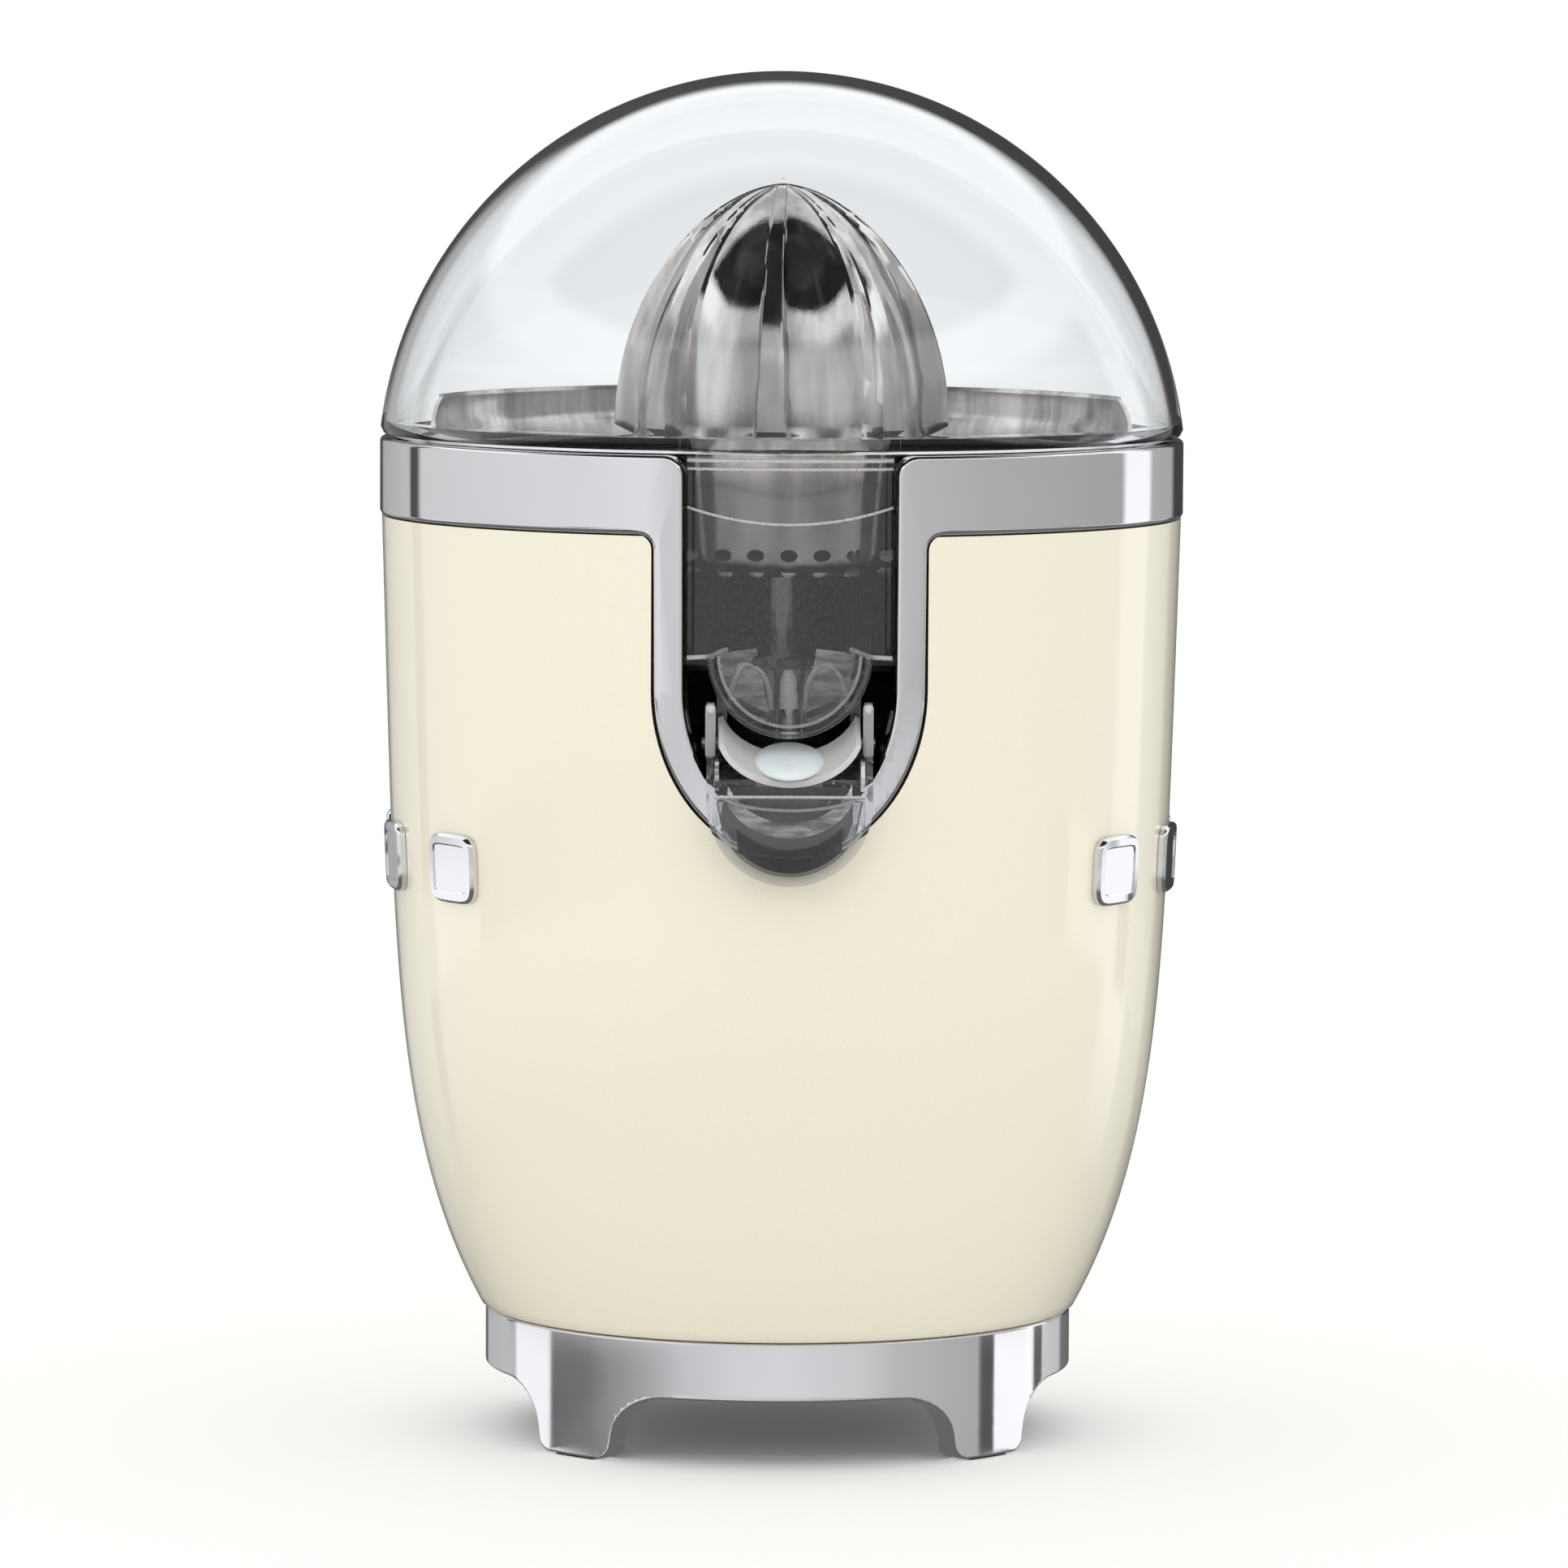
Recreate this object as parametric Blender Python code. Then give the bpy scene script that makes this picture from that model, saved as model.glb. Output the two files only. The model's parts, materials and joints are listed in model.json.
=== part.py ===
"""Citrus press juicer: painted body on a chrome base, clear bowl, steel strainer and reamer, clear lid.

Metres, +Z up, front towards -Y. The origin is on the vertical axis, at the plane that the feet stand on.
"""

import math

import bmesh
import bpy
from mathutils import Matrix, Vector

# ---- driving dimensions --------------------------------------------------------------------
OVERALL_HEIGHT = 0.280          # table to the top of the lid
BAND_RADIUS = 0.0825            # chrome band, the widest round of the body
OPENING_HALF_WIDTH = 0.02125    # front opening
SHAFT_RADIUS = 0.004
REAMER_RIB_RADIUS = 0.0344      # over the ribs, where they start
GAP = 0.0003                    # between solids that touch on the real object
RUNNING = 0.0003                # radial clearance of a shaft in a bush
FAR = 0.03                      # how far a cutter runs past what it cuts

# lid: part of a sphere whose centre lies under the band's top
LID_RADIUS = BAND_RADIUS + 0.0005
LID_CENTRE_DROP = 0.008
LID_WALL = 0.0024
LID_SEAT_RADIUS = BAND_RADIUS - 0.002
LID_CENTRE = OVERALL_HEIGHT - LID_RADIUS

# levels above the table; all but the foot's hang from the band's top
PAD_THICKNESS = 0.0012
BODY_BOTTOM = 0.026
BAND_TOP = LID_CENTRE + LID_CENTRE_DROP
BAND_BOTTOM = BAND_TOP - 0.0157
WELL_FLOOR = BAND_TOP - 0.069   # underside of the well's floor
BOWL_FLOOR = BAND_TOP - 0.045   # underside of the bowl's floor

# body outline: straight taper plus a power that pulls the foot in
BODY_TOP_RADIUS = BAND_RADIUS - 0.0004
BODY_TAPER = 0.0047
BODY_PULL_IN = 0.0163
BODY_POWER = 5.25
BODY_WALL = 0.003

# base ring and what is under it
BASE_RADIUS = BODY_TOP_RADIUS - BODY_TAPER - BODY_PULL_IN - 0.0007
BASE_WALL = 0.0055
BASE_FLANGE = 0.003
BASE_FLANGE_RADIUS = BASE_RADIUS - 0.0164
FLOOR_HOLE_RADIUS = BASE_FLANGE_RADIUS - 0.004
BASE_SCREW_CIRCLE = BASE_RADIUS - 0.0119
ARCH_TOP = 0.0138
ARCH_HALF_TOP = 0.0241
ARCH_HALF_FOOT = 0.0374
ARCH_ROUND = (0.0098, 0.0098)
FOOT_PAD_HALF_ANGLE = 5.0
FOOT_PAD_MARGIN = 0.0008
PLATE_THICKNESS = 0.003
INLET_RADIUS = 0.006
INLET_BORE = 0.0035
INLET_Y = 0.036
INLET_FLANGE = (0.002, 0.0015)  # width, thickness
INLET_RISE = 0.0025

# front opening and its chrome trim
OPENING_SHOULDER = BAND_TOP - 0.0465    # where the straight sides end
OPENING_DEPTH = 0.027           # from there to the lowest point
OPENING_CORNER = 0.004
NOTCH_BACK = -0.7 * BAND_RADIUS         # how far back the opening's cutters reach
TRIM_WIDTH = 0.006
TRIM_PROUD = 0.0007
TRIM_INNER_RADIUS = BAND_RADIUS - 0.0053
BAND_INNER_RADIUS = BAND_RADIUS - 0.0041
BAND_ROUND = 0.002

# well liner
LINER_RADIUS = BAND_RADIUS - 0.0057
LINER_WALL = 0.002
LINER_FLOOR_THICKNESS = 0.0035
COLUMN_RADIUS = SHAFT_RADIUS + 0.0067
COLUMN_TOP = BAND_TOP - 0.0155
COLUMN_BORE = SHAFT_RADIUS + 0.0015
BUSH_RADIUS = SHAFT_RADIUS + 0.0031
BUSH_LENGTH = 0.0097

# bowl
BOWL_CLEARANCE = 0.0008         # bowl wall to liner wall
BOWL_WALL = 0.0022
BOWL_FLANGE_THICKNESS = 0.0022
FLANGE_CLEARANCE = 0.0004       # bowl flange to band
NOSE_RADIUS = BAND_RADIUS - 0.0027
NOSE_HALF_WIDTH = OPENING_HALF_WIDTH - 0.00075
NOSE_WALL = 0.0018
NOSE_BACK = -0.75 * BAND_RADIUS
TROUGH_RADIUS = 0.7624 * OPENING_HALF_WIDTH
TROUGH_BOTTOM = BAND_TOP - 0.0558
TROUGH_RISE = 0.004             # straight sides above the round
TROUGH_FRONT = -NOSE_RADIUS + 0.001
TROUGH_BACK = -NOSE_RADIUS + 0.0398
LIP_CENTRE = TROUGH_BOTTOM + TROUGH_RADIUS
CHIMNEY_RADIUS = COLUMN_RADIUS + 0.0037
CHIMNEY_WALL = 0.0018
CHIMNEY_TOP = BAND_TOP - 0.013
OUTLET_RADIUS = 0.0034
OUTLET_Y = -NOSE_RADIUS + 0.0052
EAR_WIDTH = 0.0021
EAR_HALF_DEPTH = 0.0025
EAR_REACH = 0.0022              # below the spout's pivot

# strainer
STRAINER_WALL = 0.001
STRAINER_RIM_RADIUS = BAND_RADIUS - 0.0105
STRAINER_SHOULDER = 0.0018      # how far its shoulder stands out over the bowl's flange
STRAINER_RIM_TOP = BAND_TOP + 0.008
STRAINER_RIM_FRONT = BAND_TOP + 0.0012  # round the front half
STRAINER_RIM_SLOPE = (-0.15 * BAND_RADIUS, 0.22 * BAND_RADIUS)  # y where it starts to rise, and ends
STRAINER_FLOOR = BAND_TOP - 0.025
STRAINER_FLOOR_RADIUS = STRAINER_RIM_RADIUS - 0.012
STRAINER_COLLAR_TOP = BAND_TOP - 0.010
STRAINER_COLLAR_CLEARANCE = 0.0012
STRAINER_HOLES = 16
STRAINER_HOLE_RADIUS = 0.0014
STRAINER_HOLE_LEVEL = STRAINER_FLOOR + 0.006

# reamer
REAMER_TOP = BAND_TOP + 0.052
REAMER_RIB_BASE = BAND_TOP + 0.002
REAMER_BOTTOM = BAND_TOP - 0.0065
REAMER_SKIRT_RADIUS = REAMER_RIB_RADIUS - 0.0039
REAMER_WALL = 0.0017
RIBS = 8
RIB_HEIGHT_BASE = 0.0042
RIB_HEIGHT_TOP = 0.0014
HUB_RADIUS = SHAFT_RADIUS + 0.005
HUB_CLEARANCE = 0.0006          # hub to the inside of the reamer

# spout; pairs are y, z
SPOUT_PIVOT = (-BAND_RADIUS + 0.0125, BAND_TOP - 0.0575)
SPOUT_HALF_WIDTH = 0.7718 * OPENING_HALF_WIDTH
SPOUT_WALL = 0.0016
SPOUT_BOTTOM = SPOUT_PIVOT[1] - 0.027
SPOUT_FRONT = SPOUT_PIVOT[0] - 0.016
SPOUT_FRONT_WALL = 0.0012
SPOUT_BACK = SPOUT_PIVOT[0] - 0.012
SPOUT_BREAK = SPOUT_PIVOT[1] - 0.0095
SLOPE_START = (SPOUT_PIVOT[0] - 0.0032, SPOUT_PIVOT[1] - 0.0012)
SLOPE_END = (SPOUT_PIVOT[0] - 0.0126, SPOUT_PIVOT[1] - 0.0061)
SLOPE_THICKNESS = 0.0017
PIN_RADIUS = 0.0013
PIN_INNER = 0.0028              # from the inside of a cheek to the pin's inner end
PIN_OUTER = 0.0008
SEAL_RADIUS = 0.0068
SEAL_THICKNESS = 0.0014

# drive
SHAFT_TOP = BAND_TOP + 0.023
SHAFT_FLAT = 0.7 * SHAFT_RADIUS         # from the axis to the flat that drives the reamer
FLAT_LENGTH = 0.022
GEAR_MODULE = 0.0008
FIRST_MODULE = 0.0007
OUTPUT_TEETH = 48
PINION_TEETH = 10
WHEEL_TEETH = 40
ADDENDUM = 0.75                 # tooth height above the pitch circle, in modules
DEDENDUM = 1.05
TOOTH_ROOT_SHARE = 0.27         # half a tooth's thickness at its root and tip, as shares of the pitch
TOOTH_TIP_SHARE = 0.12
WHEEL_THICKNESS = 0.004
OUTPUT_THICKNESS = 0.006
TOOTH_OVERRUN = 0.001           # how far a pinion stands out past the wheel it meets
AXLE_RADIUS = 0.0022
COMPOUND_Y = (OUTPUT_TEETH + PINION_TEETH) * GEAR_MODULE / 2
MOTOR_X = -(WHEEL_TEETH + PINION_TEETH) * FIRST_MODULE / 2
GEARBOX_FLOOR = WELL_FLOOR - 0.0255
GEARBOX_RADIUS = COMPOUND_Y + WHEEL_TEETH * FIRST_MODULE / 2 + 0.0058
GEARBOX_FLANGE_RADIUS = GEARBOX_RADIUS + 0.007
GEARBOX_SCREW_CIRCLE = GEARBOX_RADIUS + 0.0035
GEARBOX_WALL = 0.002
GEARBOX_PLATE = 0.003
MOTOR_RADIUS = 0.022
MOTOR_LENGTH = 0.055
MOTOR_CHAMFER = 0.002
MOTOR_BORE_DEPTH = 0.010
MOTOR_CAP_LENGTH = 0.005
MOTOR_SCREW_OFFSET = 0.010
MOTOR_SCREW_DEPTH = 0.004
PINION_HOLE_RADIUS = 0.006
ROTOR_RADIUS = 0.0015
PRESS_TRAVEL = 0.0025
PLUNGER_RADIUS = 0.002
PLUNGER_HEAD_RADIUS = 0.006
PLUNGER_HEAD = 0.0035
SPRING_RADIUS = 0.0038
SPRING_WIRE = 0.0004
SPRING_TURNS = 2.5

# switch
LEVER_PIVOT = (0.015, GEARBOX_FLOOR - 0.008)    # x, z
LEVER_THICKNESS = 0.001
LEVER_REACH = 0.018             # from the pivot to the lever's free end
LEVER_BOSS_RADIUS = 0.0018
LEVER_PIN_RADIUS = 0.0008
SWITCH_LENGTH = (0.011, 0.003)  # to the left and the right of the pivot
SWITCH_HEIGHT = (0.0165, 0.0029)        # bottom and top, below the pivot
SWITCH_HALF_WIDTH = 0.004
EAR_THICKNESS = 0.0011
BRACKET_THICKNESS = 0.0015
BRACKET_REACH = 0.012
BRACKET_HALF_WIDTH = 0.006
BRACKET_SCREW_X = LEVER_PIVOT[0] + 0.011

# fasteners and badges
SCREW_RADIUS = 0.0015
SCREW_HEAD_RADIUS = 0.0028
SCREW_HEAD = 0.002
TIE_BOLT_RADIUS = 0.003
TIE_BOLT_CIRCLE = GEARBOX_FLANGE_RADIUS + 0.004
STUD_WIDTH = 0.016
STUD_HEIGHT = 0.014
STUD_THICKNESS = 0.0018
STUD_ROUND = 0.003
STUD_BEVEL = 0.0007
STUD_LEVEL = BAND_TOP - 0.085
STUD_AZIMUTHS = (56.1, 78.7, 101.3, 123.9)

# facets
ROUND = 40
MEDIUM_ROUND = 32
SMALL_ROUND = 20
TINY_ROUND = 10
HOLE_TURN = math.radians(7)

# ---- sizes that follow ---------------------------------------------------------------------
OUTSIDE = BAND_RADIUS + FAR
BOWL_RADIUS = LINER_RADIUS - LINER_WALL - BOWL_CLEARANCE
BOWL_INNER = BOWL_RADIUS - BOWL_WALL
FLANGE_TOP = BAND_TOP - 0.0001
FLANGE_BOTTOM = FLANGE_TOP - BOWL_FLANGE_THICKNESS
LINER_TOP = FLANGE_BOTTOM - GAP
WELL_TOP_OF_FLOOR = WELL_FLOOR + LINER_FLOOR_THICKNESS
GEARBOX_TOP = WELL_FLOOR - GAP
GEARBOX_TOP_OF_FLOOR = GEARBOX_FLOOR + GEARBOX_PLATE
MOTOR_TOP = GEARBOX_FLOOR - 0.0035
MOTOR_BOTTOM = MOTOR_TOP - MOTOR_LENGTH
BASE_FLANGE_TOP = BODY_BOTTOM - GAP
PLATE_TOP = BASE_FLANGE_TOP - BASE_FLANGE - GAP
PLATE_BOTTOM = PLATE_TOP - PLATE_THICKNESS
PLUNGER_BOTTOM = LEVER_PIVOT[1] + LEVER_THICKNESS / 2 + GAP
WHEEL_BOTTOM = GEARBOX_TOP_OF_FLOOR + 0.0025
WHEEL_TOP = WHEEL_BOTTOM + WHEEL_THICKNESS
OUTPUT_BOTTOM = WHEEL_TOP + PRESS_TRAVEL + 0.0023
OUTPUT_TOP = OUTPUT_BOTTOM + OUTPUT_THICKNESS
SHAFT_BOTTOM = OUTPUT_BOTTOM - 0.0005
HEAD_TOP = SHAFT_BOTTOM - GAP
HEAD_BOTTOM = HEAD_TOP - PLUNGER_HEAD


def body_radius(z):
    """Outer radius of the painted body at a level."""
    t = max(0.0, (BAND_BOTTOM - z) / (BAND_BOTTOM - BODY_BOTTOM))
    return BODY_TOP_RADIUS - BODY_TAPER * t - BODY_PULL_IN * t**BODY_POWER


# ---- tools ---------------------------------------------------------------------------------
def clear_scene():
    for obj in list(bpy.data.objects):
        bpy.data.objects.remove(obj, do_unlink=True)


def material(name, colour, roughness, metallic=0.0, transmission=0.0):
    made = bpy.data.materials.get(name) or bpy.data.materials.new(name)
    made.use_nodes = True
    shader = made.node_tree.nodes["Principled BSDF"]
    shader.inputs["Base Color"].default_value = (*colour, 1.0)
    shader.inputs["Roughness"].default_value = roughness
    shader.inputs["Metallic"].default_value = metallic
    shader.inputs["Transmission Weight"].default_value = transmission
    made.diffuse_color = (*colour, 1.0)
    return made


def cream_paint():
    return material("cream_paint", (0.87, 0.83, 0.68), 0.25)


def chrome():
    return material("chrome", (0.80, 0.80, 0.82), 0.08, metallic=1.0)


def steel(name="stainless_steel"):
    return material(name, (0.62, 0.60, 0.58), 0.28, metallic=1.0)


def clear_plastic(name):
    return material(name, (0.93, 0.96, 0.98), 0.05, transmission=1.0)


def dark_plastic(name, shade=0.08):
    return material(name, (shade, shade, shade * 1.05), 0.5)


def white_plastic(name):
    return material(name, (0.85, 0.85, 0.83), 0.45)


def rubber():
    return material("rubber", (0.03, 0.03, 0.03), 0.8)


def link(name, mesh, surface, origin=(0, 0, 0)):
    """An object from a mesh that is in world coordinates, with its origin moved to a chosen point."""
    mesh.transform(Matrix.Translation(-Vector(origin)))
    obj = bpy.data.objects.new(name, mesh)
    obj.location = origin
    bpy.context.scene.collection.objects.link(obj)
    if surface is None:
        obj.hide_render = True
        obj.display_type = "WIRE"
    else:
        mesh.materials.append(surface)
        mesh.shade_smooth()
        mesh.set_sharp_from_angle(angle=math.radians(32))
    return obj


def finish(bm, name, surface, origin=(0, 0, 0)):
    bmesh.ops.recalc_face_normals(bm, faces=bm.faces)
    mesh = bpy.data.meshes.new(name)
    bm.to_mesh(mesh)
    bm.free()
    return link(name, mesh, surface, origin)


def turned(name, outline, surface, steps=ROUND, centre=(0, 0), origin=(0, 0, 0)):
    """A closed (radius, z) outline spun about the vertical. It may start and end on the axis."""
    bm = bmesh.new()
    verts = [bm.verts.new((r, 0, z)) for r, z in outline]
    on_axis = outline[0][0] == 0 and outline[-1][0] == 0
    pairs = list(zip(verts, verts[1:]))
    if not on_axis:
        pairs.append((verts[-1], verts[0]))
    edges = [bm.edges.new(pair) for pair in pairs]
    bmesh.ops.spin(bm, geom=verts + edges, cent=(0, 0, 0), axis=(0, 0, 1), angle=math.tau, steps=steps)
    bmesh.ops.remove_doubles(bm, verts=bm.verts, dist=1e-6)
    bmesh.ops.translate(bm, verts=bm.verts, vec=(*centre, 0))
    return finish(bm, name, surface, origin)


def rod(name, radius, low, high, surface, steps=SMALL_ROUND, centre=(0, 0), origin=(0, 0, 0)):
    outline = [(0, low), (radius, low), (radius, high), (0, high)]
    return turned(name, outline, surface, steps, centre, origin)


def tube(name, radius, bore, low, high, surface, steps=SMALL_ROUND, centre=(0, 0)):
    return turned(name, [(bore, low), (radius, low), (radius, high), (bore, high)], surface, steps, centre)


def prism(name, outline, axis, low, high, surface, origin=(0, 0, 0)):
    """A flat outline extruded along an axis. The outline's pairs are the other two coordinates, in order."""
    bm = bmesh.new()
    place = {
        "X": lambda a, b: (low, a, b),
        "Y": lambda a, b: (a, low, b),
        "Z": lambda a, b: (a, b, low),
    }[axis]
    face = bm.faces.new([bm.verts.new(place(a, b)) for a, b in outline])
    moved = bmesh.ops.extrude_face_region(bm, geom=[face])["geom"]
    step = Vector([high - low if letter == axis else 0 for letter in "XYZ"])
    bmesh.ops.translate(bm, verts=[v for v in moved if isinstance(v, bmesh.types.BMVert)], vec=step)
    return finish(bm, name, surface, origin)


def box(name, low, high, surface, origin=(0, 0, 0)):
    outline = [(low[0], low[1]), (high[0], low[1]), (high[0], high[1]), (low[0], high[1])]
    return prism(name, outline, "Z", low[2], high[2], surface, origin)


def cross_rod(name, radius, low, high, y, z, surface, steps=TINY_ROUND, origin=(0, 0, 0)):
    """A rod along X."""
    outline = [
        (y + radius * math.cos(math.tau * i / steps), z + radius * math.sin(math.tau * i / steps))
        for i in range(steps)
    ]
    return prism(name, outline, "X", low, high, surface, origin)


def combine(obj, other, operation):
    change = obj.modifiers.new(f"{operation.lower()}_{other.name}"[:60], "BOOLEAN")
    change.operation = operation
    change.object = other
    return obj


def cut(obj, *others):
    for other in others:
        combine(obj, other, "DIFFERENCE")
    return obj


def join(obj, *others):
    for other in others:
        combine(obj, other, "UNION")
    return obj


def round_the_circle(radius, degrees):
    """A point at an azimuth measured from the front, turning towards +X."""
    angle = math.radians(degrees)
    return (radius * math.sin(angle), -radius * math.cos(angle))


def arc(centre, radii, start, end, count):
    """Points on an ellipse from one angle to another, in degrees."""
    return [
        (centre[0] + radii[0] * math.cos(angle), centre[1] + radii[1] * math.sin(angle))
        for angle in (math.radians(start + (end - start) * i / count) for i in range(count + 1))
    ]


def opening_outline(grow, top, floor=None):
    """The front opening seen from the front: straight sides and an elliptical bottom, grown outwards."""
    half = OPENING_HALF_WIDTH + grow
    bottom = arc((0, OPENING_SHOULDER), (half, OPENING_DEPTH + grow), 180, 360, 18)
    if floor is not None:
        bottom = [(x, max(z, floor)) for x, z in bottom if z > floor - 0.004]
    return [(-half, top), *bottom, (half, top)]


def front_cutter(name, outline):
    """A cutter through the front walls, from an outline seen from the front."""
    return prism(name, outline, "Y", -OUTSIDE, NOTCH_BACK, None)


def screw_hole(name, centre, low, high):
    return rod(name, SCREW_RADIUS + GAP, low, high, None, TINY_ROUND, centre)


def turned_hole(name, radius, centre, low, high):
    """A round cutter, turned a little so that none of its corners lies on an edge of what it cuts."""
    cutter = rod(name, radius, low, high, None, TINY_ROUND)
    cutter.data.transform(Matrix.Translation((*centre, 0)) @ Matrix.Rotation(HOLE_TURN, 4, "Z"))
    return cutter


# ---- body ----------------------------------------------------------------------------------
def housing_shell():
    top = BAND_BOTTOM - GAP
    levels = [BODY_BOTTOM + (top - BODY_BOTTOM) * (i / 7) ** 1.35 for i in range(8)]
    outer = [(body_radius(z), z) for z in levels]
    floor_top = BODY_BOTTOM + BODY_WALL
    inner = [(body_radius(z) - BODY_WALL, z) for z in reversed(levels) if z > floor_top + 0.002]
    foot = [(body_radius(floor_top) - BODY_WALL, floor_top), (FLOOR_HOLE_RADIUS, floor_top)]
    shell = turned("housing_shell", [(FLOOR_HOLE_RADIUS, BODY_BOTTOM), *outer, *inner, *foot], cream_paint())
    cut(shell, front_cutter("housing_notch", opening_outline(TRIM_WIDTH + GAP, BAND_TOP)))
    for i, centre in enumerate(base_screw_centres()):
        cut(shell, screw_hole(f"housing_hole_{i}", centre, BODY_BOTTOM - FAR, floor_top + FAR))
    return shell


def trim_ring():
    """The band and the frame of the front opening, one chrome casting that follows the body."""
    frame_bottom = OPENING_SHOULDER - OPENING_DEPTH - TRIM_WIDTH - 0.001
    levels = [frame_bottom + (BAND_BOTTOM - GAP - frame_bottom) * i / 4 for i in range(5)]
    follow = [(min(BAND_RADIUS, body_radius(z) + TRIM_PROUD), z) for z in levels]
    band = [(BAND_RADIUS, BAND_BOTTOM), (BAND_RADIUS, BAND_TOP - BAND_ROUND)]
    top = [(BAND_RADIUS - BAND_ROUND * 0.3, BAND_TOP - BAND_ROUND * 0.3), (BAND_RADIUS - BAND_ROUND, BAND_TOP)]
    inside = [(BAND_INNER_RADIUS, BAND_TOP), (BAND_INNER_RADIUS, BAND_BOTTOM), (TRIM_INNER_RADIUS, BAND_BOTTOM)]
    ring = turned("trim_ring", [(TRIM_INNER_RADIUS, frame_bottom), *follow, *band, *top, *inside], chrome())
    above = box("trim_above", (-OUTSIDE, -OUTSIDE, BAND_BOTTOM), (OUTSIDE, OUTSIDE, BAND_TOP + FAR), None)
    join(above, front_cutter("trim_keep", opening_outline(TRIM_WIDTH, BAND_BOTTOM + 0.001)))
    combine(ring, above, "INTERSECT")
    corner = OPENING_CORNER
    half = OPENING_HALF_WIDTH
    opening = opening_outline(0, BAND_TOP - corner)
    left = arc((-half - corner, BAND_TOP - corner), (corner, corner), 90, 0, 4)
    right = arc((half + corner, BAND_TOP - corner), (corner, corner), 180, 90, 4)
    lift = BAND_TOP + 0.005
    outline = [(-half - corner, lift), *left, *opening[2:-2], *right, (half + corner, lift)]
    return cut(ring, front_cutter("trim_opening", outline))


def arch_outline():
    """One arch of the base seen from the front: flat top, hollow corners and splayed feet."""
    points = [(ARCH_HALF_FOOT, -0.002), (ARCH_HALF_FOOT, 0.001)]
    points += arc((ARCH_HALF_TOP, ARCH_TOP - ARCH_ROUND[1]), ARCH_ROUND, 0, 90, 5)
    return points + [(-x, z) for x, z in reversed(points)]


def base_ring():
    top = BASE_FLANGE_TOP
    bottom = PAD_THICKNESS + GAP
    inner = BASE_RADIUS - BASE_WALL
    outline = [
        (inner, bottom),
        (BASE_RADIUS, bottom),
        (BASE_RADIUS, top),
        (BASE_FLANGE_RADIUS, top),
        (BASE_FLANGE_RADIUS, top - BASE_FLANGE),
        (inner, top - BASE_FLANGE),
    ]
    ring = turned("base_ring", outline, chrome())
    cut(ring, prism("arch_front_back", arch_outline(), "Y", -OUTSIDE, OUTSIDE, None))
    cut(ring, prism("arch_sides", arch_outline(), "X", -OUTSIDE, OUTSIDE, None))
    for i, centre in enumerate(base_screw_centres()):
        cut(ring, screw_hole(f"ring_hole_{i}", centre, top - BASE_FLANGE - 0.005, top + 0.005))
    return ring


def foot_pads():
    """Rubber pads under the four legs, a little inside each leg's outline."""
    half = FOOT_PAD_HALF_ANGLE
    outer_radius = BASE_RADIUS - FOOT_PAD_MARGIN
    inner_radius = BASE_RADIUS - BASE_WALL + FOOT_PAD_MARGIN
    for i, azimuth in enumerate((45, 135, 225, 315)):
        outer = [round_the_circle(outer_radius, azimuth + a) for a in (-half, 0, half)]
        inner = [round_the_circle(inner_radius, azimuth + a) for a in (half, -half)]
        prism(f"foot_pad_{i + 1}", outer + inner, "Z", 0, PAD_THICKNESS, rubber())


def base_screw_centres():
    return [round_the_circle(BASE_SCREW_CIRCLE, azimuth) for azimuth in (45, 135, 225, 315)]


def screw(name, centre, head_low, shank_top, surface):
    """A pan-head screw driven upwards, its head at the bottom."""
    shoulder = head_low + SCREW_HEAD
    outline = [
        (0, head_low),
        (SCREW_HEAD_RADIUS, head_low),
        (SCREW_HEAD_RADIUS, shoulder),
        (SCREW_RADIUS, shoulder),
        (SCREW_RADIUS, shank_top),
        (0, shank_top),
    ]
    return turned(name, outline, surface, TINY_ROUND, centre)


def base_screws():
    for i, centre in enumerate(base_screw_centres()):
        head_low = PLATE_BOTTOM - GAP - SCREW_HEAD
        screw(f"base_screw_{i + 1}", centre, head_low, BODY_BOTTOM + BODY_WALL, steel("screw_steel"))


def base_plate():
    radius = BASE_RADIUS - BASE_WALL - GAP
    low, high = PLATE_BOTTOM - 0.005, PLATE_TOP + 0.005
    plate = rod("base_plate", radius, PLATE_BOTTOM, PLATE_TOP, dark_plastic("base_plastic"), ROUND)
    for i, centre in enumerate(base_screw_centres()):
        cut(plate, screw_hole(f"plate_hole_{i}", centre, low, high))
    return cut(plate, rod("inlet_hole", INLET_RADIUS + GAP, low, high, None, SMALL_ROUND, (0, INLET_Y)))


def cord_inlet():
    """A flanged bush in the plate, where the mains lead would enter."""
    flange = INLET_RADIUS + INLET_FLANGE[0]
    low = PLATE_BOTTOM - GAP - INLET_FLANGE[1]
    outline = [
        (INLET_BORE, low),
        (flange, low),
        (flange, PLATE_BOTTOM - GAP),
        (INLET_RADIUS, PLATE_BOTTOM - GAP),
        (INLET_RADIUS, PLATE_TOP + INLET_RISE),
        (INLET_BORE, PLATE_TOP + INLET_RISE),
    ]
    return turned("cord_inlet", outline, rubber(), 16, (0, INLET_Y))


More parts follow.
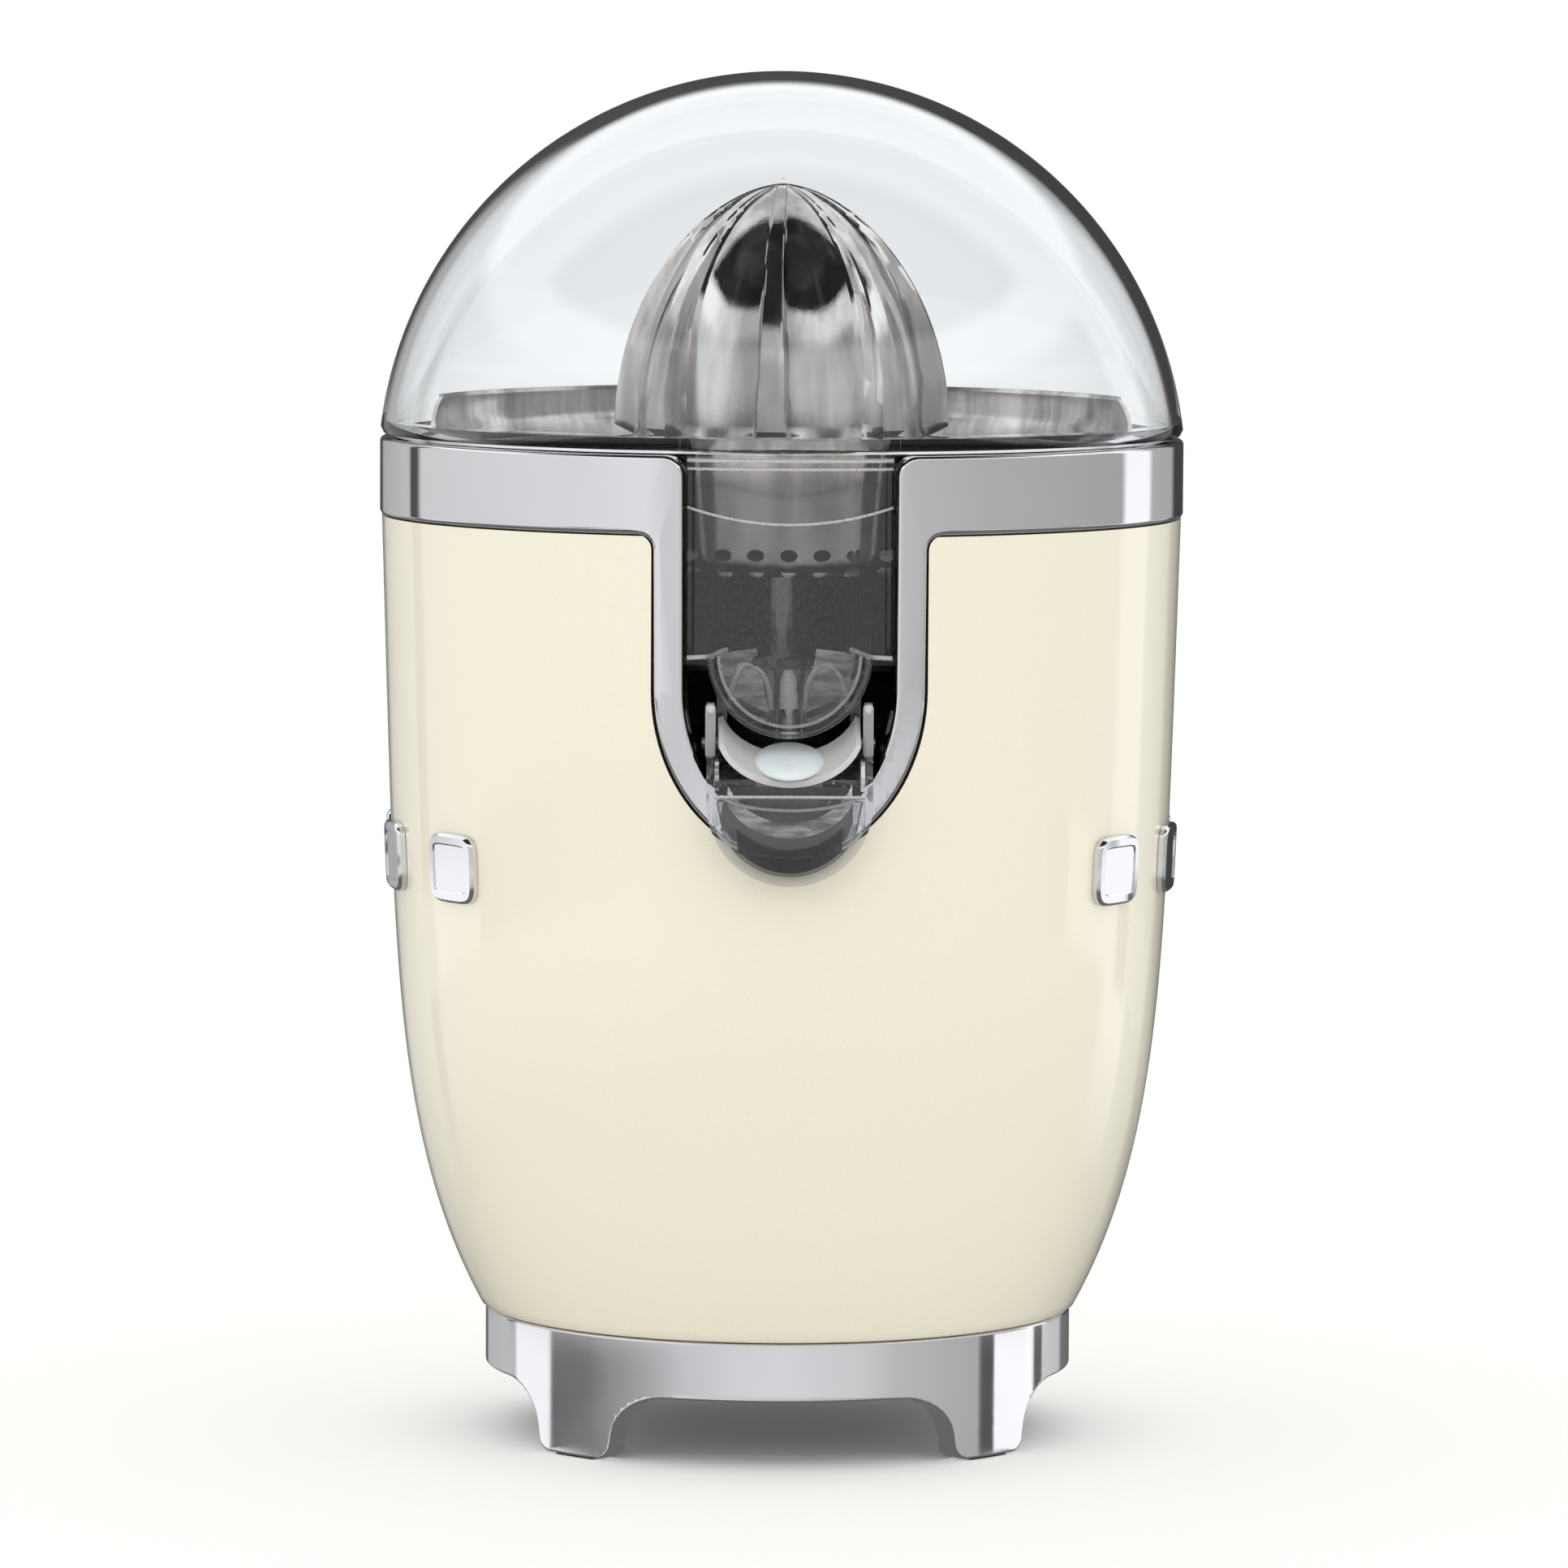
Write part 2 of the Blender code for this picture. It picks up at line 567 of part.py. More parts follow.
def badge_studs():
    """Plain bevelled chrome lozenges, a row on each side of the body."""
    seat = body_radius(STUD_LEVEL + STUD_HEIGHT / 2) + GAP
    for side, word in ((1, "right"), (-1, "left")):
        for i, azimuth in enumerate(STUD_AZIMUTHS):
            bm = bmesh.new()
            bmesh.ops.create_cube(bm, size=1)
            bmesh.ops.scale(bm, verts=bm.verts, vec=(STUD_WIDTH, STUD_THICKNESS, STUD_HEIGHT))
            through = [e for e in bm.edges if abs(e.verts[0].co.y - e.verts[1].co.y) > STUD_THICKNESS / 2]
            bmesh.ops.bevel(bm, geom=through, offset=STUD_ROUND, segments=2, profile=0.5, affect="EDGES")
            front = [e for e in bm.edges if all(v.co.y < -STUD_THICKNESS * 0.49 for v in e.verts)]
            bmesh.ops.bevel(bm, geom=front, offset=STUD_BEVEL, segments=1, profile=0.5, affect="EDGES")
            bmesh.ops.translate(bm, verts=bm.verts, vec=(0, -seat - STUD_THICKNESS / 2, STUD_LEVEL))
            turn = Matrix.Rotation(math.radians(side * azimuth), 4, "Z")
            bmesh.ops.transform(bm, matrix=turn, verts=bm.verts)
            finish(bm, f"badge_stud_{word}_{i + 1}", chrome())


# ---- well and gearbox ----------------------------------------------------------------------
def gearbox_screw_centres():
    return [round_the_circle(GEARBOX_SCREW_CIRCLE, azimuth) for azimuth in (60, 180, 300)]


def tie_bolt_centres():
    return [round_the_circle(TIE_BOLT_CIRCLE, azimuth) for azimuth in (0, 120, 240)]


def well_liner():
    inner = LINER_RADIUS - LINER_WALL
    seat = BUSH_RADIUS + GAP
    low_seat = WELL_FLOOR + BUSH_LENGTH + 2 * GAP
    high_seat = COLUMN_TOP - BUSH_LENGTH - GAP
    outline = [
        (seat, WELL_FLOOR),
        (LINER_RADIUS, WELL_FLOOR),
        (LINER_RADIUS, LINER_TOP),
        (inner, LINER_TOP),
        (inner, WELL_TOP_OF_FLOOR),
        (COLUMN_RADIUS, WELL_TOP_OF_FLOOR),
        (COLUMN_RADIUS, COLUMN_TOP),
        (seat, COLUMN_TOP),
        (seat, high_seat),
        (COLUMN_BORE, high_seat),
        (COLUMN_BORE, low_seat),
        (seat, low_seat),
    ]
    liner = turned("well_liner", outline, dark_plastic("liner_plastic", 0.15))
    cut(liner, front_cutter("liner_notch", opening_outline(GAP, BAND_TOP, floor=WELL_TOP_OF_FLOOR)))
    for i, centre in enumerate(gearbox_screw_centres()):
        cut(liner, screw_hole(f"liner_hole_{i}", centre, WELL_FLOOR - 0.01, WELL_FLOOR + 0.0025))
    return liner


def shaft_bushes():
    bore = SHAFT_RADIUS + RUNNING
    bronze = material("bush_bronze", (0.5, 0.36, 0.2), 0.4, 1.0)
    low = WELL_FLOOR + GAP
    tube("shaft_bush_lower", BUSH_RADIUS, bore, low, low + BUSH_LENGTH, bronze)
    tube("shaft_bush_upper", BUSH_RADIUS, bore, COLUMN_TOP - BUSH_LENGTH, COLUMN_TOP, bronze)


def gearbox():
    floor_top = GEARBOX_TOP_OF_FLOOR
    inner = GEARBOX_RADIUS - GEARBOX_WALL
    outline = [
        (0, GEARBOX_FLOOR),
        (GEARBOX_RADIUS, GEARBOX_FLOOR),
        (GEARBOX_RADIUS, GEARBOX_TOP - GEARBOX_PLATE),
        (GEARBOX_FLANGE_RADIUS, GEARBOX_TOP - GEARBOX_PLATE),
        (GEARBOX_FLANGE_RADIUS, GEARBOX_TOP),
        (inner, GEARBOX_TOP),
        (inner, floor_top),
        (0, floor_top),
    ]
    cup = turned("gearbox", outline, white_plastic("gearbox_plastic"), MEDIUM_ROUND)
    low, high = GEARBOX_FLOOR - 0.005, floor_top + 0.001
    holes = [
        ("plunger_hole", PLUNGER_RADIUS + RUNNING, (0, 0)),
        ("pinion_hole", PINION_HOLE_RADIUS, (MOTOR_X, COMPOUND_Y)),
        ("axle_hole", AXLE_RADIUS + GAP, (0, COMPOUND_Y)),
        ("bracket_hole", SCREW_RADIUS + GAP, (BRACKET_SCREW_X, 0)),
    ]
    for i, centre in enumerate(motor_screw_centres()):
        holes.append((f"motor_hole_{i}", SCREW_RADIUS + GAP, centre))
    for name, radius, centre in holes:
        cut(cup, turned_hole(name, radius, centre, low, high))
    for i, centre in enumerate(gearbox_screw_centres()):
        cut(cup, screw_hole(f"flange_hole_{i}", centre, GEARBOX_TOP - 0.01, GEARBOX_TOP + 0.01))
    return cup


def gearbox_screws():
    for i, centre in enumerate(gearbox_screw_centres()):
        head_low = GEARBOX_TOP - GEARBOX_PLATE - GAP - SCREW_HEAD
        screw(f"gearbox_screw_{i + 1}", centre, head_low, WELL_FLOOR + 0.0022, steel("screw_steel"))


def tie_bolts():
    for i, centre in enumerate(tie_bolt_centres()):
        low, high = BODY_BOTTOM + BODY_WALL + GAP, WELL_FLOOR - GAP
        rod(f"tie_bolt_{i + 1}", TIE_BOLT_RADIUS, low, high, steel("screw_steel"), TINY_ROUND, centre)


# ---- motor and gears -----------------------------------------------------------------------
def motor_screw_centres():
    return [(MOTOR_X, COMPOUND_Y + side * MOTOR_SCREW_OFFSET) for side in (-1, 1)]


def motor():
    centre = (MOTOR_X, COMPOUND_Y)
    can = turned(
        "motor_can",
        [
            (0, MOTOR_BOTTOM),
            (MOTOR_RADIUS, MOTOR_BOTTOM),
            (MOTOR_RADIUS, MOTOR_TOP - MOTOR_CHAMFER),
            (MOTOR_RADIUS - MOTOR_CHAMFER, MOTOR_TOP),
            (ROTOR_RADIUS + RUNNING, MOTOR_TOP),
            (ROTOR_RADIUS + RUNNING, MOTOR_TOP - MOTOR_BORE_DEPTH),
            (0, MOTOR_TOP - MOTOR_BORE_DEPTH),
        ],
        steel("motor_steel"),
        MEDIUM_ROUND,
        centre,
    )
    for i, place in enumerate(motor_screw_centres()):
        hole_low = MOTOR_TOP - MOTOR_SCREW_DEPTH - 0.0005
        cut(can, screw_hole(f"can_hole_{i}", place, hole_low, MOTOR_TOP + 0.01))
    cap_radius = MOTOR_RADIUS - 0.003
    cap_low, cap_high = MOTOR_BOTTOM - MOTOR_CAP_LENGTH, MOTOR_BOTTOM - GAP
    rod("motor_end_cap", cap_radius, cap_low, cap_high, dark_plastic("motor_plastic"), SMALL_ROUND, centre)
    low, high = MOTOR_TOP + GAP, GEARBOX_FLOOR - GAP
    bore = PINION_HOLE_RADIUS + 0.001
    mount = tube("motor_mount", MOTOR_RADIUS, bore, low, high, rubber(), SMALL_ROUND, centre)
    for i, place in enumerate(motor_screw_centres()):
        cut(mount, screw_hole(f"mount_hole_{i}", place, low - 0.005, high + 0.005))


def motor_screws():
    """Driven down through the gearbox floor into the motor."""
    for i, centre in enumerate(motor_screw_centres()):
        seat = GEARBOX_TOP_OF_FLOOR + GAP
        outline = [
            (0, MOTOR_TOP - MOTOR_SCREW_DEPTH),
            (SCREW_RADIUS, MOTOR_TOP - MOTOR_SCREW_DEPTH),
            (SCREW_RADIUS, seat),
            (SCREW_HEAD_RADIUS, seat),
            (SCREW_HEAD_RADIUS, seat + 0.0015),
            (0, seat + 0.0015),
        ]
        turned(f"motor_screw_{i + 1}", outline, steel("screw_steel"), TINY_ROUND, centre)


def gear_outline(teeth, module, phase, centre):
    """Tooth flanks as straight lines between the root and tip circles, one tooth centred on the phase."""
    pitch = math.tau / teeth
    pitch_radius = teeth * module / 2
    root = pitch_radius - DEDENDUM * module
    tip = pitch_radius + ADDENDUM * module
    points = []
    for i in range(teeth):
        middle = math.radians(phase) + i * pitch
        foot, crest = TOOTH_ROOT_SHARE, TOOTH_TIP_SHARE
        for radius, share in ((root, -foot), (tip, -crest), (tip, crest), (root, foot)):
            angle = middle + share * pitch
            points.append((centre[0] + radius * math.cos(angle), centre[1] + radius * math.sin(angle)))
    return points


def gear(name, teeth, module, phase, centre, low, high, surface):
    """A toothed wheel without its bore, standing on its own axis."""
    return prism(name, gear_outline(teeth, module, phase, centre), "Z", low, high, surface, (*centre, low))


def bore(wheel, radius, centre, low, high):
    return cut(wheel, rod(f"{wheel.name}_bore", radius, low - 0.02, high + 0.02, None, 12, centre))


def compound_gear():
    centre = (0, COMPOUND_Y)
    top = OUTPUT_TOP + TOOTH_OVERRUN
    wheel = gear(
        "compound_gear", WHEEL_TEETH, FIRST_MODULE, 0, centre, WHEEL_BOTTOM, WHEEL_TOP, white_plastic("nylon")
    )
    join(wheel, gear("compound_pinion", PINION_TEETH, GEAR_MODULE, 0, centre, WHEEL_TOP - 0.001, top, None))
    bore(wheel, AXLE_RADIUS + RUNNING, centre, WHEEL_BOTTOM, top)
    rod("compound_axle", AXLE_RADIUS, GEARBOX_FLOOR, top + 0.001, steel("screw_steel"), 12, centre)


def rotor():
    centre = (MOTOR_X, COMPOUND_Y)
    low = MOTOR_TOP - MOTOR_BORE_DEPTH + GAP
    rod("rotor_shaft", ROTOR_RADIUS, low, WHEEL_TOP + 0.001, steel("screw_steel"), 12, centre, (*centre, low))
    brass = material("pinion_brass", (0.7, 0.55, 0.25), 0.35, 1.0)
    low, high = WHEEL_BOTTOM - 0.0004, WHEEL_TOP + 0.0004
    pinion = gear("motor_pinion", PINION_TEETH, FIRST_MODULE, 180 / PINION_TEETH, centre, low, high, brass)
    bore(pinion, ROTOR_RADIUS + GAP, centre, low, high)


def drive_shaft():
    shaft = rod("drive_shaft", SHAFT_RADIUS, SHAFT_BOTTOM, SHAFT_TOP, steel("shaft_steel"))
    flat = box("shaft_flat", (SHAFT_FLAT, -FAR, SHAFT_TOP - FLAT_LENGTH), (FAR, FAR, SHAFT_TOP + 0.01), None)
    cut(shaft, flat)
    nylon = white_plastic("nylon")
    wheel = gear("output_gear", OUTPUT_TEETH, GEAR_MODULE, 0, (0, 0), OUTPUT_BOTTOM, OUTPUT_TOP, nylon)
    bore(wheel, SHAFT_RADIUS + GAP, (0, 0), OUTPUT_BOTTOM, OUTPUT_TOP)


def thrust_plunger():
    outline = [
        (0, PLUNGER_BOTTOM),
        (PLUNGER_RADIUS, PLUNGER_BOTTOM),
        (PLUNGER_RADIUS, HEAD_BOTTOM),
        (PLUNGER_HEAD_RADIUS, HEAD_BOTTOM),
        (PLUNGER_HEAD_RADIUS, HEAD_TOP),
        (0, HEAD_TOP),
    ]
    return turned("thrust_plunger", outline, white_plastic("nylon"), 16)


def return_spring():
    """A short coil that lifts the shaft off the switch."""
    low = GEARBOX_TOP_OF_FLOOR + GAP + SPRING_WIRE
    high = HEAD_BOTTOM - GAP - SPRING_WIRE
    curve = bpy.data.curves.new("return_spring", "CURVE")
    curve.dimensions = "3D"
    curve.bevel_depth = SPRING_WIRE
    curve.bevel_resolution = 1
    curve.use_fill_caps = True
    count = int(SPRING_TURNS * 12)
    line = curve.splines.new("POLY")
    line.points.add(count)
    for i, point in enumerate(line.points):
        angle = math.tau * SPRING_TURNS * i / count
        x, y = SPRING_RADIUS * math.cos(angle), SPRING_RADIUS * math.sin(angle)
        point.co = (x, y, low + (high - low) * i / count, 1)
    spring = bpy.data.objects.new("return_spring", curve)
    curve.materials.append(steel("spring_steel"))
    bpy.context.scene.collection.objects.link(spring)
    return spring


# ---- switch --------------------------------------------------------------------------------
def lever_circle(radius, steps=10):
    """A circle round the lever's pivot, seen from the side."""
    return arc(LEVER_PIVOT, (radius, radius), 0, 360 * (steps - 1) / steps, steps - 1)


def microswitch():
    x, z = LEVER_PIVOT
    half = SWITCH_HALF_WIDTH
    low, top = z - SWITCH_HEIGHT[0], z - SWITCH_HEIGHT[1]
    surface = dark_plastic("switch_plastic", 0.05)
    body = box("microswitch", (x - SWITCH_LENGTH[0], -half, low), (x + SWITCH_LENGTH[1], half, top), surface)
    for side in (-1, 1):
        near, far = sorted((side * half, side * (half - EAR_THICKNESS)))
        corner_low, corner_high = (x - 0.0025, near, top - 0.001), (x + 0.0025, far, z + 0.0023)
        join(body, box(f"switch_ear_{side + 2}", corner_low, corner_high, None))
    cut(body, prism("ear_bore", lever_circle(LEVER_PIN_RADIUS + RUNNING), "Y", -0.01, 0.01, None))
    prism("switch_lever_pin", lever_circle(LEVER_PIN_RADIUS), "Y", -half, half, steel("screw_steel"))
    return body


def switch_lever():
    x, z = LEVER_PIVOT
    half = SWITCH_HALF_WIDTH - EAR_THICKNESS - 0.0004
    low, high = z - LEVER_THICKNESS / 2, z + LEVER_THICKNESS / 2
    arm = box("switch_lever", (x - LEVER_REACH, -half, low), (x, half, high), steel("lever_steel"), (x, 0, z))
    join(arm, prism("lever_boss", lever_circle(LEVER_BOSS_RADIUS, 12), "Y", -half, half, None))
    return cut(arm, prism("lever_bore", lever_circle(LEVER_PIN_RADIUS + RUNNING), "Y", -0.02, 0.02, None))


def switch_bracket():
    left = LEVER_PIVOT[0] + SWITCH_LENGTH[1] + GAP
    low = LEVER_PIVOT[1] - SWITCH_HEIGHT[0]
    high = GEARBOX_FLOOR - GAP
    under = high - BRACKET_THICKNESS
    outline = [
        (left, low),
        (left + BRACKET_THICKNESS, low),
        (left + BRACKET_THICKNESS, under),
        (left + BRACKET_REACH, under),
        (left + BRACKET_REACH, high),
        (left, high),
    ]
    half = BRACKET_HALF_WIDTH
    bracket = prism("switch_bracket", outline, "Y", -half, half, steel("lever_steel"))
    centre = (BRACKET_SCREW_X, 0)
    cut(bracket, screw_hole("bracket_bore", centre, high - 0.01, high + 0.01))
    screw("bracket_screw", centre, under - GAP - SCREW_HEAD, GEARBOX_TOP_OF_FLOOR - GAP, steel("screw_steel"))
    return bracket


# ---- bowl, spout, strainer, reamer, lid ----------------------------------------------------
def nose_outline(inset):
    """Plan of the bowl's nose in the front opening: square sides and a round front."""
    half = NOSE_HALF_WIDTH - inset
    radius = NOSE_RADIUS - inset
    reach = math.degrees(math.asin(half / radius))
    front = [round_the_circle(radius, -reach + 2 * reach * i / 6) for i in range(7)]
    return [(-half, NOSE_BACK), *front, (half, NOSE_BACK)]


def trough_outline(inset):
    radius = TROUGH_RADIUS - inset
    top = LIP_CENTRE + TROUGH_RISE
    return [(-radius, top), *arc((0, LIP_CENTRE), (radius, radius), 180, 360, 14), (radius, top)]


def juice_bowl():
    outer = [
        (CHIMNEY_RADIUS - CHIMNEY_WALL, BOWL_FLOOR),
        (BOWL_RADIUS, BOWL_FLOOR),
        (BOWL_RADIUS, FLANGE_BOTTOM),
        (BAND_INNER_RADIUS - FLANGE_CLEARANCE, FLANGE_BOTTOM),
        (BAND_INNER_RADIUS - FLANGE_CLEARANCE, FLANGE_TOP),
        (CHIMNEY_RADIUS - CHIMNEY_WALL, FLANGE_TOP),
    ]
    bowl = turned("juice_bowl", outer, clear_plastic("bowl_plastic"))
    nose_floor = LIP_CENTRE - NOSE_WALL
    join(bowl, prism("nose_outer", nose_outline(0), "Z", nose_floor, FLANGE_TOP, None))
    join(bowl, prism("trough_outer", trough_outline(0), "Y", TROUGH_FRONT, TROUGH_BACK, None))
    y, z = SPOUT_PIVOT
    ear_outer = SPOUT_HALF_WIDTH - SPOUT_WALL - 0.0005
    front, back, low, high = y - EAR_HALF_DEPTH, y + EAR_HALF_DEPTH, z - EAR_REACH, LIP_CENTRE - 0.003
    for side in (-1, 1):
        left, right = sorted((side * ear_outer, side * (ear_outer - EAR_WIDTH)))
        join(bowl, box(f"bowl_ear_{side + 2}", (left, front, low), (right, back, high), None))
    hollow = [
        (0, CHIMNEY_TOP),
        (CHIMNEY_RADIUS, CHIMNEY_TOP),
        (CHIMNEY_RADIUS, BOWL_FLOOR + BOWL_WALL),
        (BOWL_INNER, BOWL_FLOOR + BOWL_WALL),
        (BOWL_INNER, FLANGE_TOP + FAR),
        (0, FLANGE_TOP + FAR),
    ]
    cut(bowl, turned("bowl_hollow", hollow, None))
    cut(bowl, prism("nose_inner", nose_outline(NOSE_WALL), "Z", nose_floor + NOSE_WALL, FLANGE_TOP + FAR, None))
    front, back = TROUGH_FRONT + NOSE_WALL, TROUGH_BACK - NOSE_WALL
    cut(bowl, prism("trough_inner", trough_outline(NOSE_WALL), "Y", front, back, None))
    low, high = TROUGH_BOTTOM - 0.01, TROUGH_BOTTOM + 0.006
    cut(bowl, rod("outlet_hole", OUTLET_RADIUS, low, high, None, 12, (0, OUTLET_Y)))
    cut(bowl, cross_rod("ear_hole", PIN_RADIUS + RUNNING, -FAR, FAR, y, z, None))
    return bowl


def cheek_outline():
    """The spout's side wall, seen from the side."""
    y, z = SPOUT_PIVOT
    tip = SPOUT_BOTTOM - 0.001
    return [
        (y + 0.0022, z + 0.0021),
        (y - 0.0050, z + 0.0035),
        (y - 0.0060, z + 0.0088),
        (y - 0.0100, z + 0.0088),
        (SPOUT_FRONT, SPOUT_BREAK),
        (SPOUT_FRONT, tip),
        (SPOUT_BACK, tip),
        (SPOUT_BACK, z - 0.0063),
        (y - 0.0032, z - 0.0021),
        (y + 0.0022, z - 0.0021),
    ]


def slope_outline():
    """The sloping floor that carries the seal, and the wall that runs down from it."""
    tip = SPOUT_BOTTOM - 0.001
    return [
        SLOPE_START,
        SLOPE_END,
        (SLOPE_END[0] - 0.0008, SLOPE_END[1] - 0.0024),
        (SLOPE_END[0] - 0.0008, tip),
        (SPOUT_BACK, tip),
        (SPOUT_BACK, SLOPE_END[1] - 0.0016),
        (SLOPE_START[0], SLOPE_START[1] - SLOPE_THICKNESS),
    ]


def spout():
    y, z = SPOUT_PIVOT
    half = SPOUT_HALF_WIDTH
    inner = half - SPOUT_WALL
    lap = inner + 0.0005
    made = prism("spout", cheek_outline(), "X", -half, -inner, clear_plastic("spout_plastic"), (0, y, z))
    join(made, prism("spout_slope", slope_outline(), "X", -lap, lap, None))
    join(made, prism("spout_cheek", cheek_outline(), "X", inner, half, None))
    low = (-lap, SPOUT_FRONT, SPOUT_BOTTOM - 0.001)
    high = (lap, SPOUT_FRONT + SPOUT_FRONT_WALL, SPOUT_BREAK)
    join(made, box("spout_front", low, high, None))
    top = z + 0.0125
    outline = [(-half, top), *arc((0, SPOUT_BOTTOM + half), (half, half), 180, 360, 14), (half, top)]
    combine(made, front_cutter("spout_outline", outline), "INTERSECT")
    return cut(made, cross_rod("spout_bore", PIN_RADIUS + RUNNING, -FAR, FAR, y, z, None))


def spout_pins():
    low = SPOUT_HALF_WIDTH - SPOUT_WALL - PIN_INNER
    high = SPOUT_HALF_WIDTH + PIN_OUTER
    cross_rod("spout_pin_right", PIN_RADIUS, low, high, *SPOUT_PIVOT, steel("screw_steel"))
    cross_rod("spout_pin_left", PIN_RADIUS, -high, -low, *SPOUT_PIVOT, steel("screw_steel"))


def spout_seal():
    """A soft disc on the spout's slope that shuts the outlet when the spout is tilted up."""
    seal = rod("spout_seal", SEAL_RADIUS, 0, SEAL_THICKNESS, material("silicone", (0.9, 0.9, 0.9), 0.6))
    start, end = Vector((0, *SLOPE_START)), Vector((0, *SLOPE_END))
    tilt = math.atan2(start.z - end.z, start.y - end.y)
    normal = Vector((0, -math.sin(tilt), math.cos(tilt)))
    place = (start + end) / 2 + normal * GAP
    seal.data.transform(Matrix.Translation(place) @ Matrix.Rotation(tilt, 4, "X"))
    return seal


def strainer():
    wall = STRAINER_WALL
    rim = STRAINER_RIM_RADIUS
    shoulder = rim + STRAINER_SHOULDER
    collar = CHIMNEY_RADIUS + STRAINER_COLLAR_CLEARANCE
    under = [
        (collar, STRAINER_FLOOR + 0.002),
        (STRAINER_FLOOR_RADIUS, STRAINER_FLOOR),
        (rim - 0.0045, STRAINER_FLOOR + 0.0045),
        (rim - 0.0022, FLANGE_TOP - 0.002),
        (rim - 0.0018, FLANGE_TOP + GAP),
        (shoulder, FLANGE_TOP + GAP),
        (shoulder, FLANGE_TOP + GAP + wall),
        (rim, FLANGE_TOP + 0.003),
        (rim, STRAINER_RIM_TOP),
    ]
    over = [
        (rim - wall, STRAINER_RIM_TOP),
        (rim - wall, FLANGE_TOP + 0.0025),
        (rim - 0.0032, FLANGE_TOP - 0.002),
        (rim - 0.0055, STRAINER_FLOOR + 0.0052),
        (STRAINER_FLOOR_RADIUS, STRAINER_FLOOR + wall),
        (collar + wall, STRAINER_FLOOR + 0.002 + wall),
        (collar + wall, STRAINER_COLLAR_TOP),
        (collar, STRAINER_COLLAR_TOP),
    ]
    made = turned("strainer", under + over, steel())
    holes = bmesh.new()
    radius = STRAINER_HOLE_RADIUS
    move = Matrix.Translation((0, 0.0045 - rim, STRAINER_HOLE_LEVEL))
    first = move @ Matrix.Rotation(math.pi / 2, 4, "X")
    for i in range(STRAINER_HOLES):
        place = Matrix.Rotation(math.tau * i / STRAINER_HOLES, 4, "Z") @ first
        bmesh.ops.create_cone(
            holes, cap_ends=True, segments=6, radius1=radius, radius2=radius, depth=0.008, matrix=place
        )
    cut(made, finish(holes, "strainer_holes", None))
    return cut(made, strainer_rim_cutter())


def strainer_rim_cutter():
    """Lowers the rim round the front half, with a slope on each side up to its full height."""
    over = STRAINER_RIM_TOP + 0.001
    outline = [
        (-BAND_RADIUS, STRAINER_RIM_FRONT),
        (STRAINER_RIM_SLOPE[0], STRAINER_RIM_FRONT),
        (STRAINER_RIM_SLOPE[1], over),
        (-BAND_RADIUS, over),
    ]
    return prism("strainer_rim_cut", outline, "X", -BAND_RADIUS, BAND_RADIUS, None)


def reamer_radius(z, angle):
    """Outer radius of the reamer at a level and an angle round it."""
    h = min(1.0, max(0.0, (z - REAMER_RIB_BASE) / (REAMER_TOP - REAMER_RIB_BASE)))
    envelope = REAMER_RIB_RADIUS * max(0.0, 1 - h * h) ** 0.58
    height = RIB_HEIGHT_BASE + (RIB_HEIGHT_TOP - RIB_HEIGHT_BASE) * h
    lobe = max(envelope - height, envelope * 0.8)
    if z < REAMER_RIB_BASE:
        return REAMER_SKIRT_RADIUS
    around = abs((angle * RIBS / math.tau + 0.5) % 1.0 - 0.5)
    rib = max(0.0, 1 - around / 0.17)
    return lobe + (envelope - lobe) * min(1.0, rib * 1.6)


def reamer_cone():
    per_rib = 5
    count = RIBS * per_rib
    span = REAMER_TOP - REAMER_RIB_BASE
    levels = [REAMER_BOTTOM, REAMER_RIB_BASE - 0.0015]
    levels += [REAMER_RIB_BASE + span * math.sin(math.pi / 2 * i / 8) for i in range(8)]
    bm = bmesh.new()
    outside = []
    for z in levels:
        ring = []
        for i in range(count):
            angle = math.tau * i / count
            x, y = round_the_circle(reamer_radius(z, angle), math.degrees(angle))
            ring.append(bm.verts.new((x, y, z)))
        outside.append(ring)
    tip = bm.verts.new((0, 0, REAMER_TOP))
    inside = []
    for z in (REAMER_BOTTOM, REAMER_RIB_BASE, REAMER_RIB_BASE + span * 0.45, REAMER_RIB_BASE + span * 0.75):
        radius = min(reamer_radius(z, math.pi / RIBS), REAMER_SKIRT_RADIUS) - REAMER_WALL
        places = [round_the_circle(radius, 360 * i / count) for i in range(count)]
        inside.append([bm.verts.new((x, y, z)) for x, y in places])
    roof = bm.verts.new((0, 0, REAMER_RIB_BASE + span * 0.86))
    for rings, peak in ((outside, tip), (inside, roof)):
        for low, high in zip(rings, rings[1:]):
            for i in range(count):
                bm.faces.new((low[i], low[i - 1], high[i - 1], high[i]))
        for i in range(count):
            bm.faces.new((rings[-1][i], rings[-1][i - 1], peak))
    for i in range(count):
        bm.faces.new((outside[0][i], outside[0][i - 1], inside[0][i - 1], inside[0][i]))
    return finish(bm, "reamer_cone", steel())


def reamer_hub():
    """The socket inside the reamer, with a flat that matches the shaft's."""
    low = REAMER_BOTTOM + 0.002
    web = low + 0.002
    rim = REAMER_SKIRT_RADIUS - REAMER_WALL - HUB_CLEARANCE
    top = SHAFT_TOP + 0.002
    outline = [(0, low), (rim, low), (rim, web), (HUB_RADIUS, web + 0.001), (HUB_RADIUS - 0.001, top), (0, top)]
    hub = turned("reamer_hub", outline, white_plastic("hub_plastic"), SMALL_ROUND)
    socket = rod("hub_socket", SHAFT_RADIUS + GAP, low - 0.01, SHAFT_TOP + GAP, None)
    low = (SHAFT_FLAT + GAP, -FAR, SHAFT_TOP - FLAT_LENGTH + GAP)
    cut(socket, box("hub_flat", low, (FAR, FAR, SHAFT_TOP + 0.01), None))
    return cut(hub, socket)


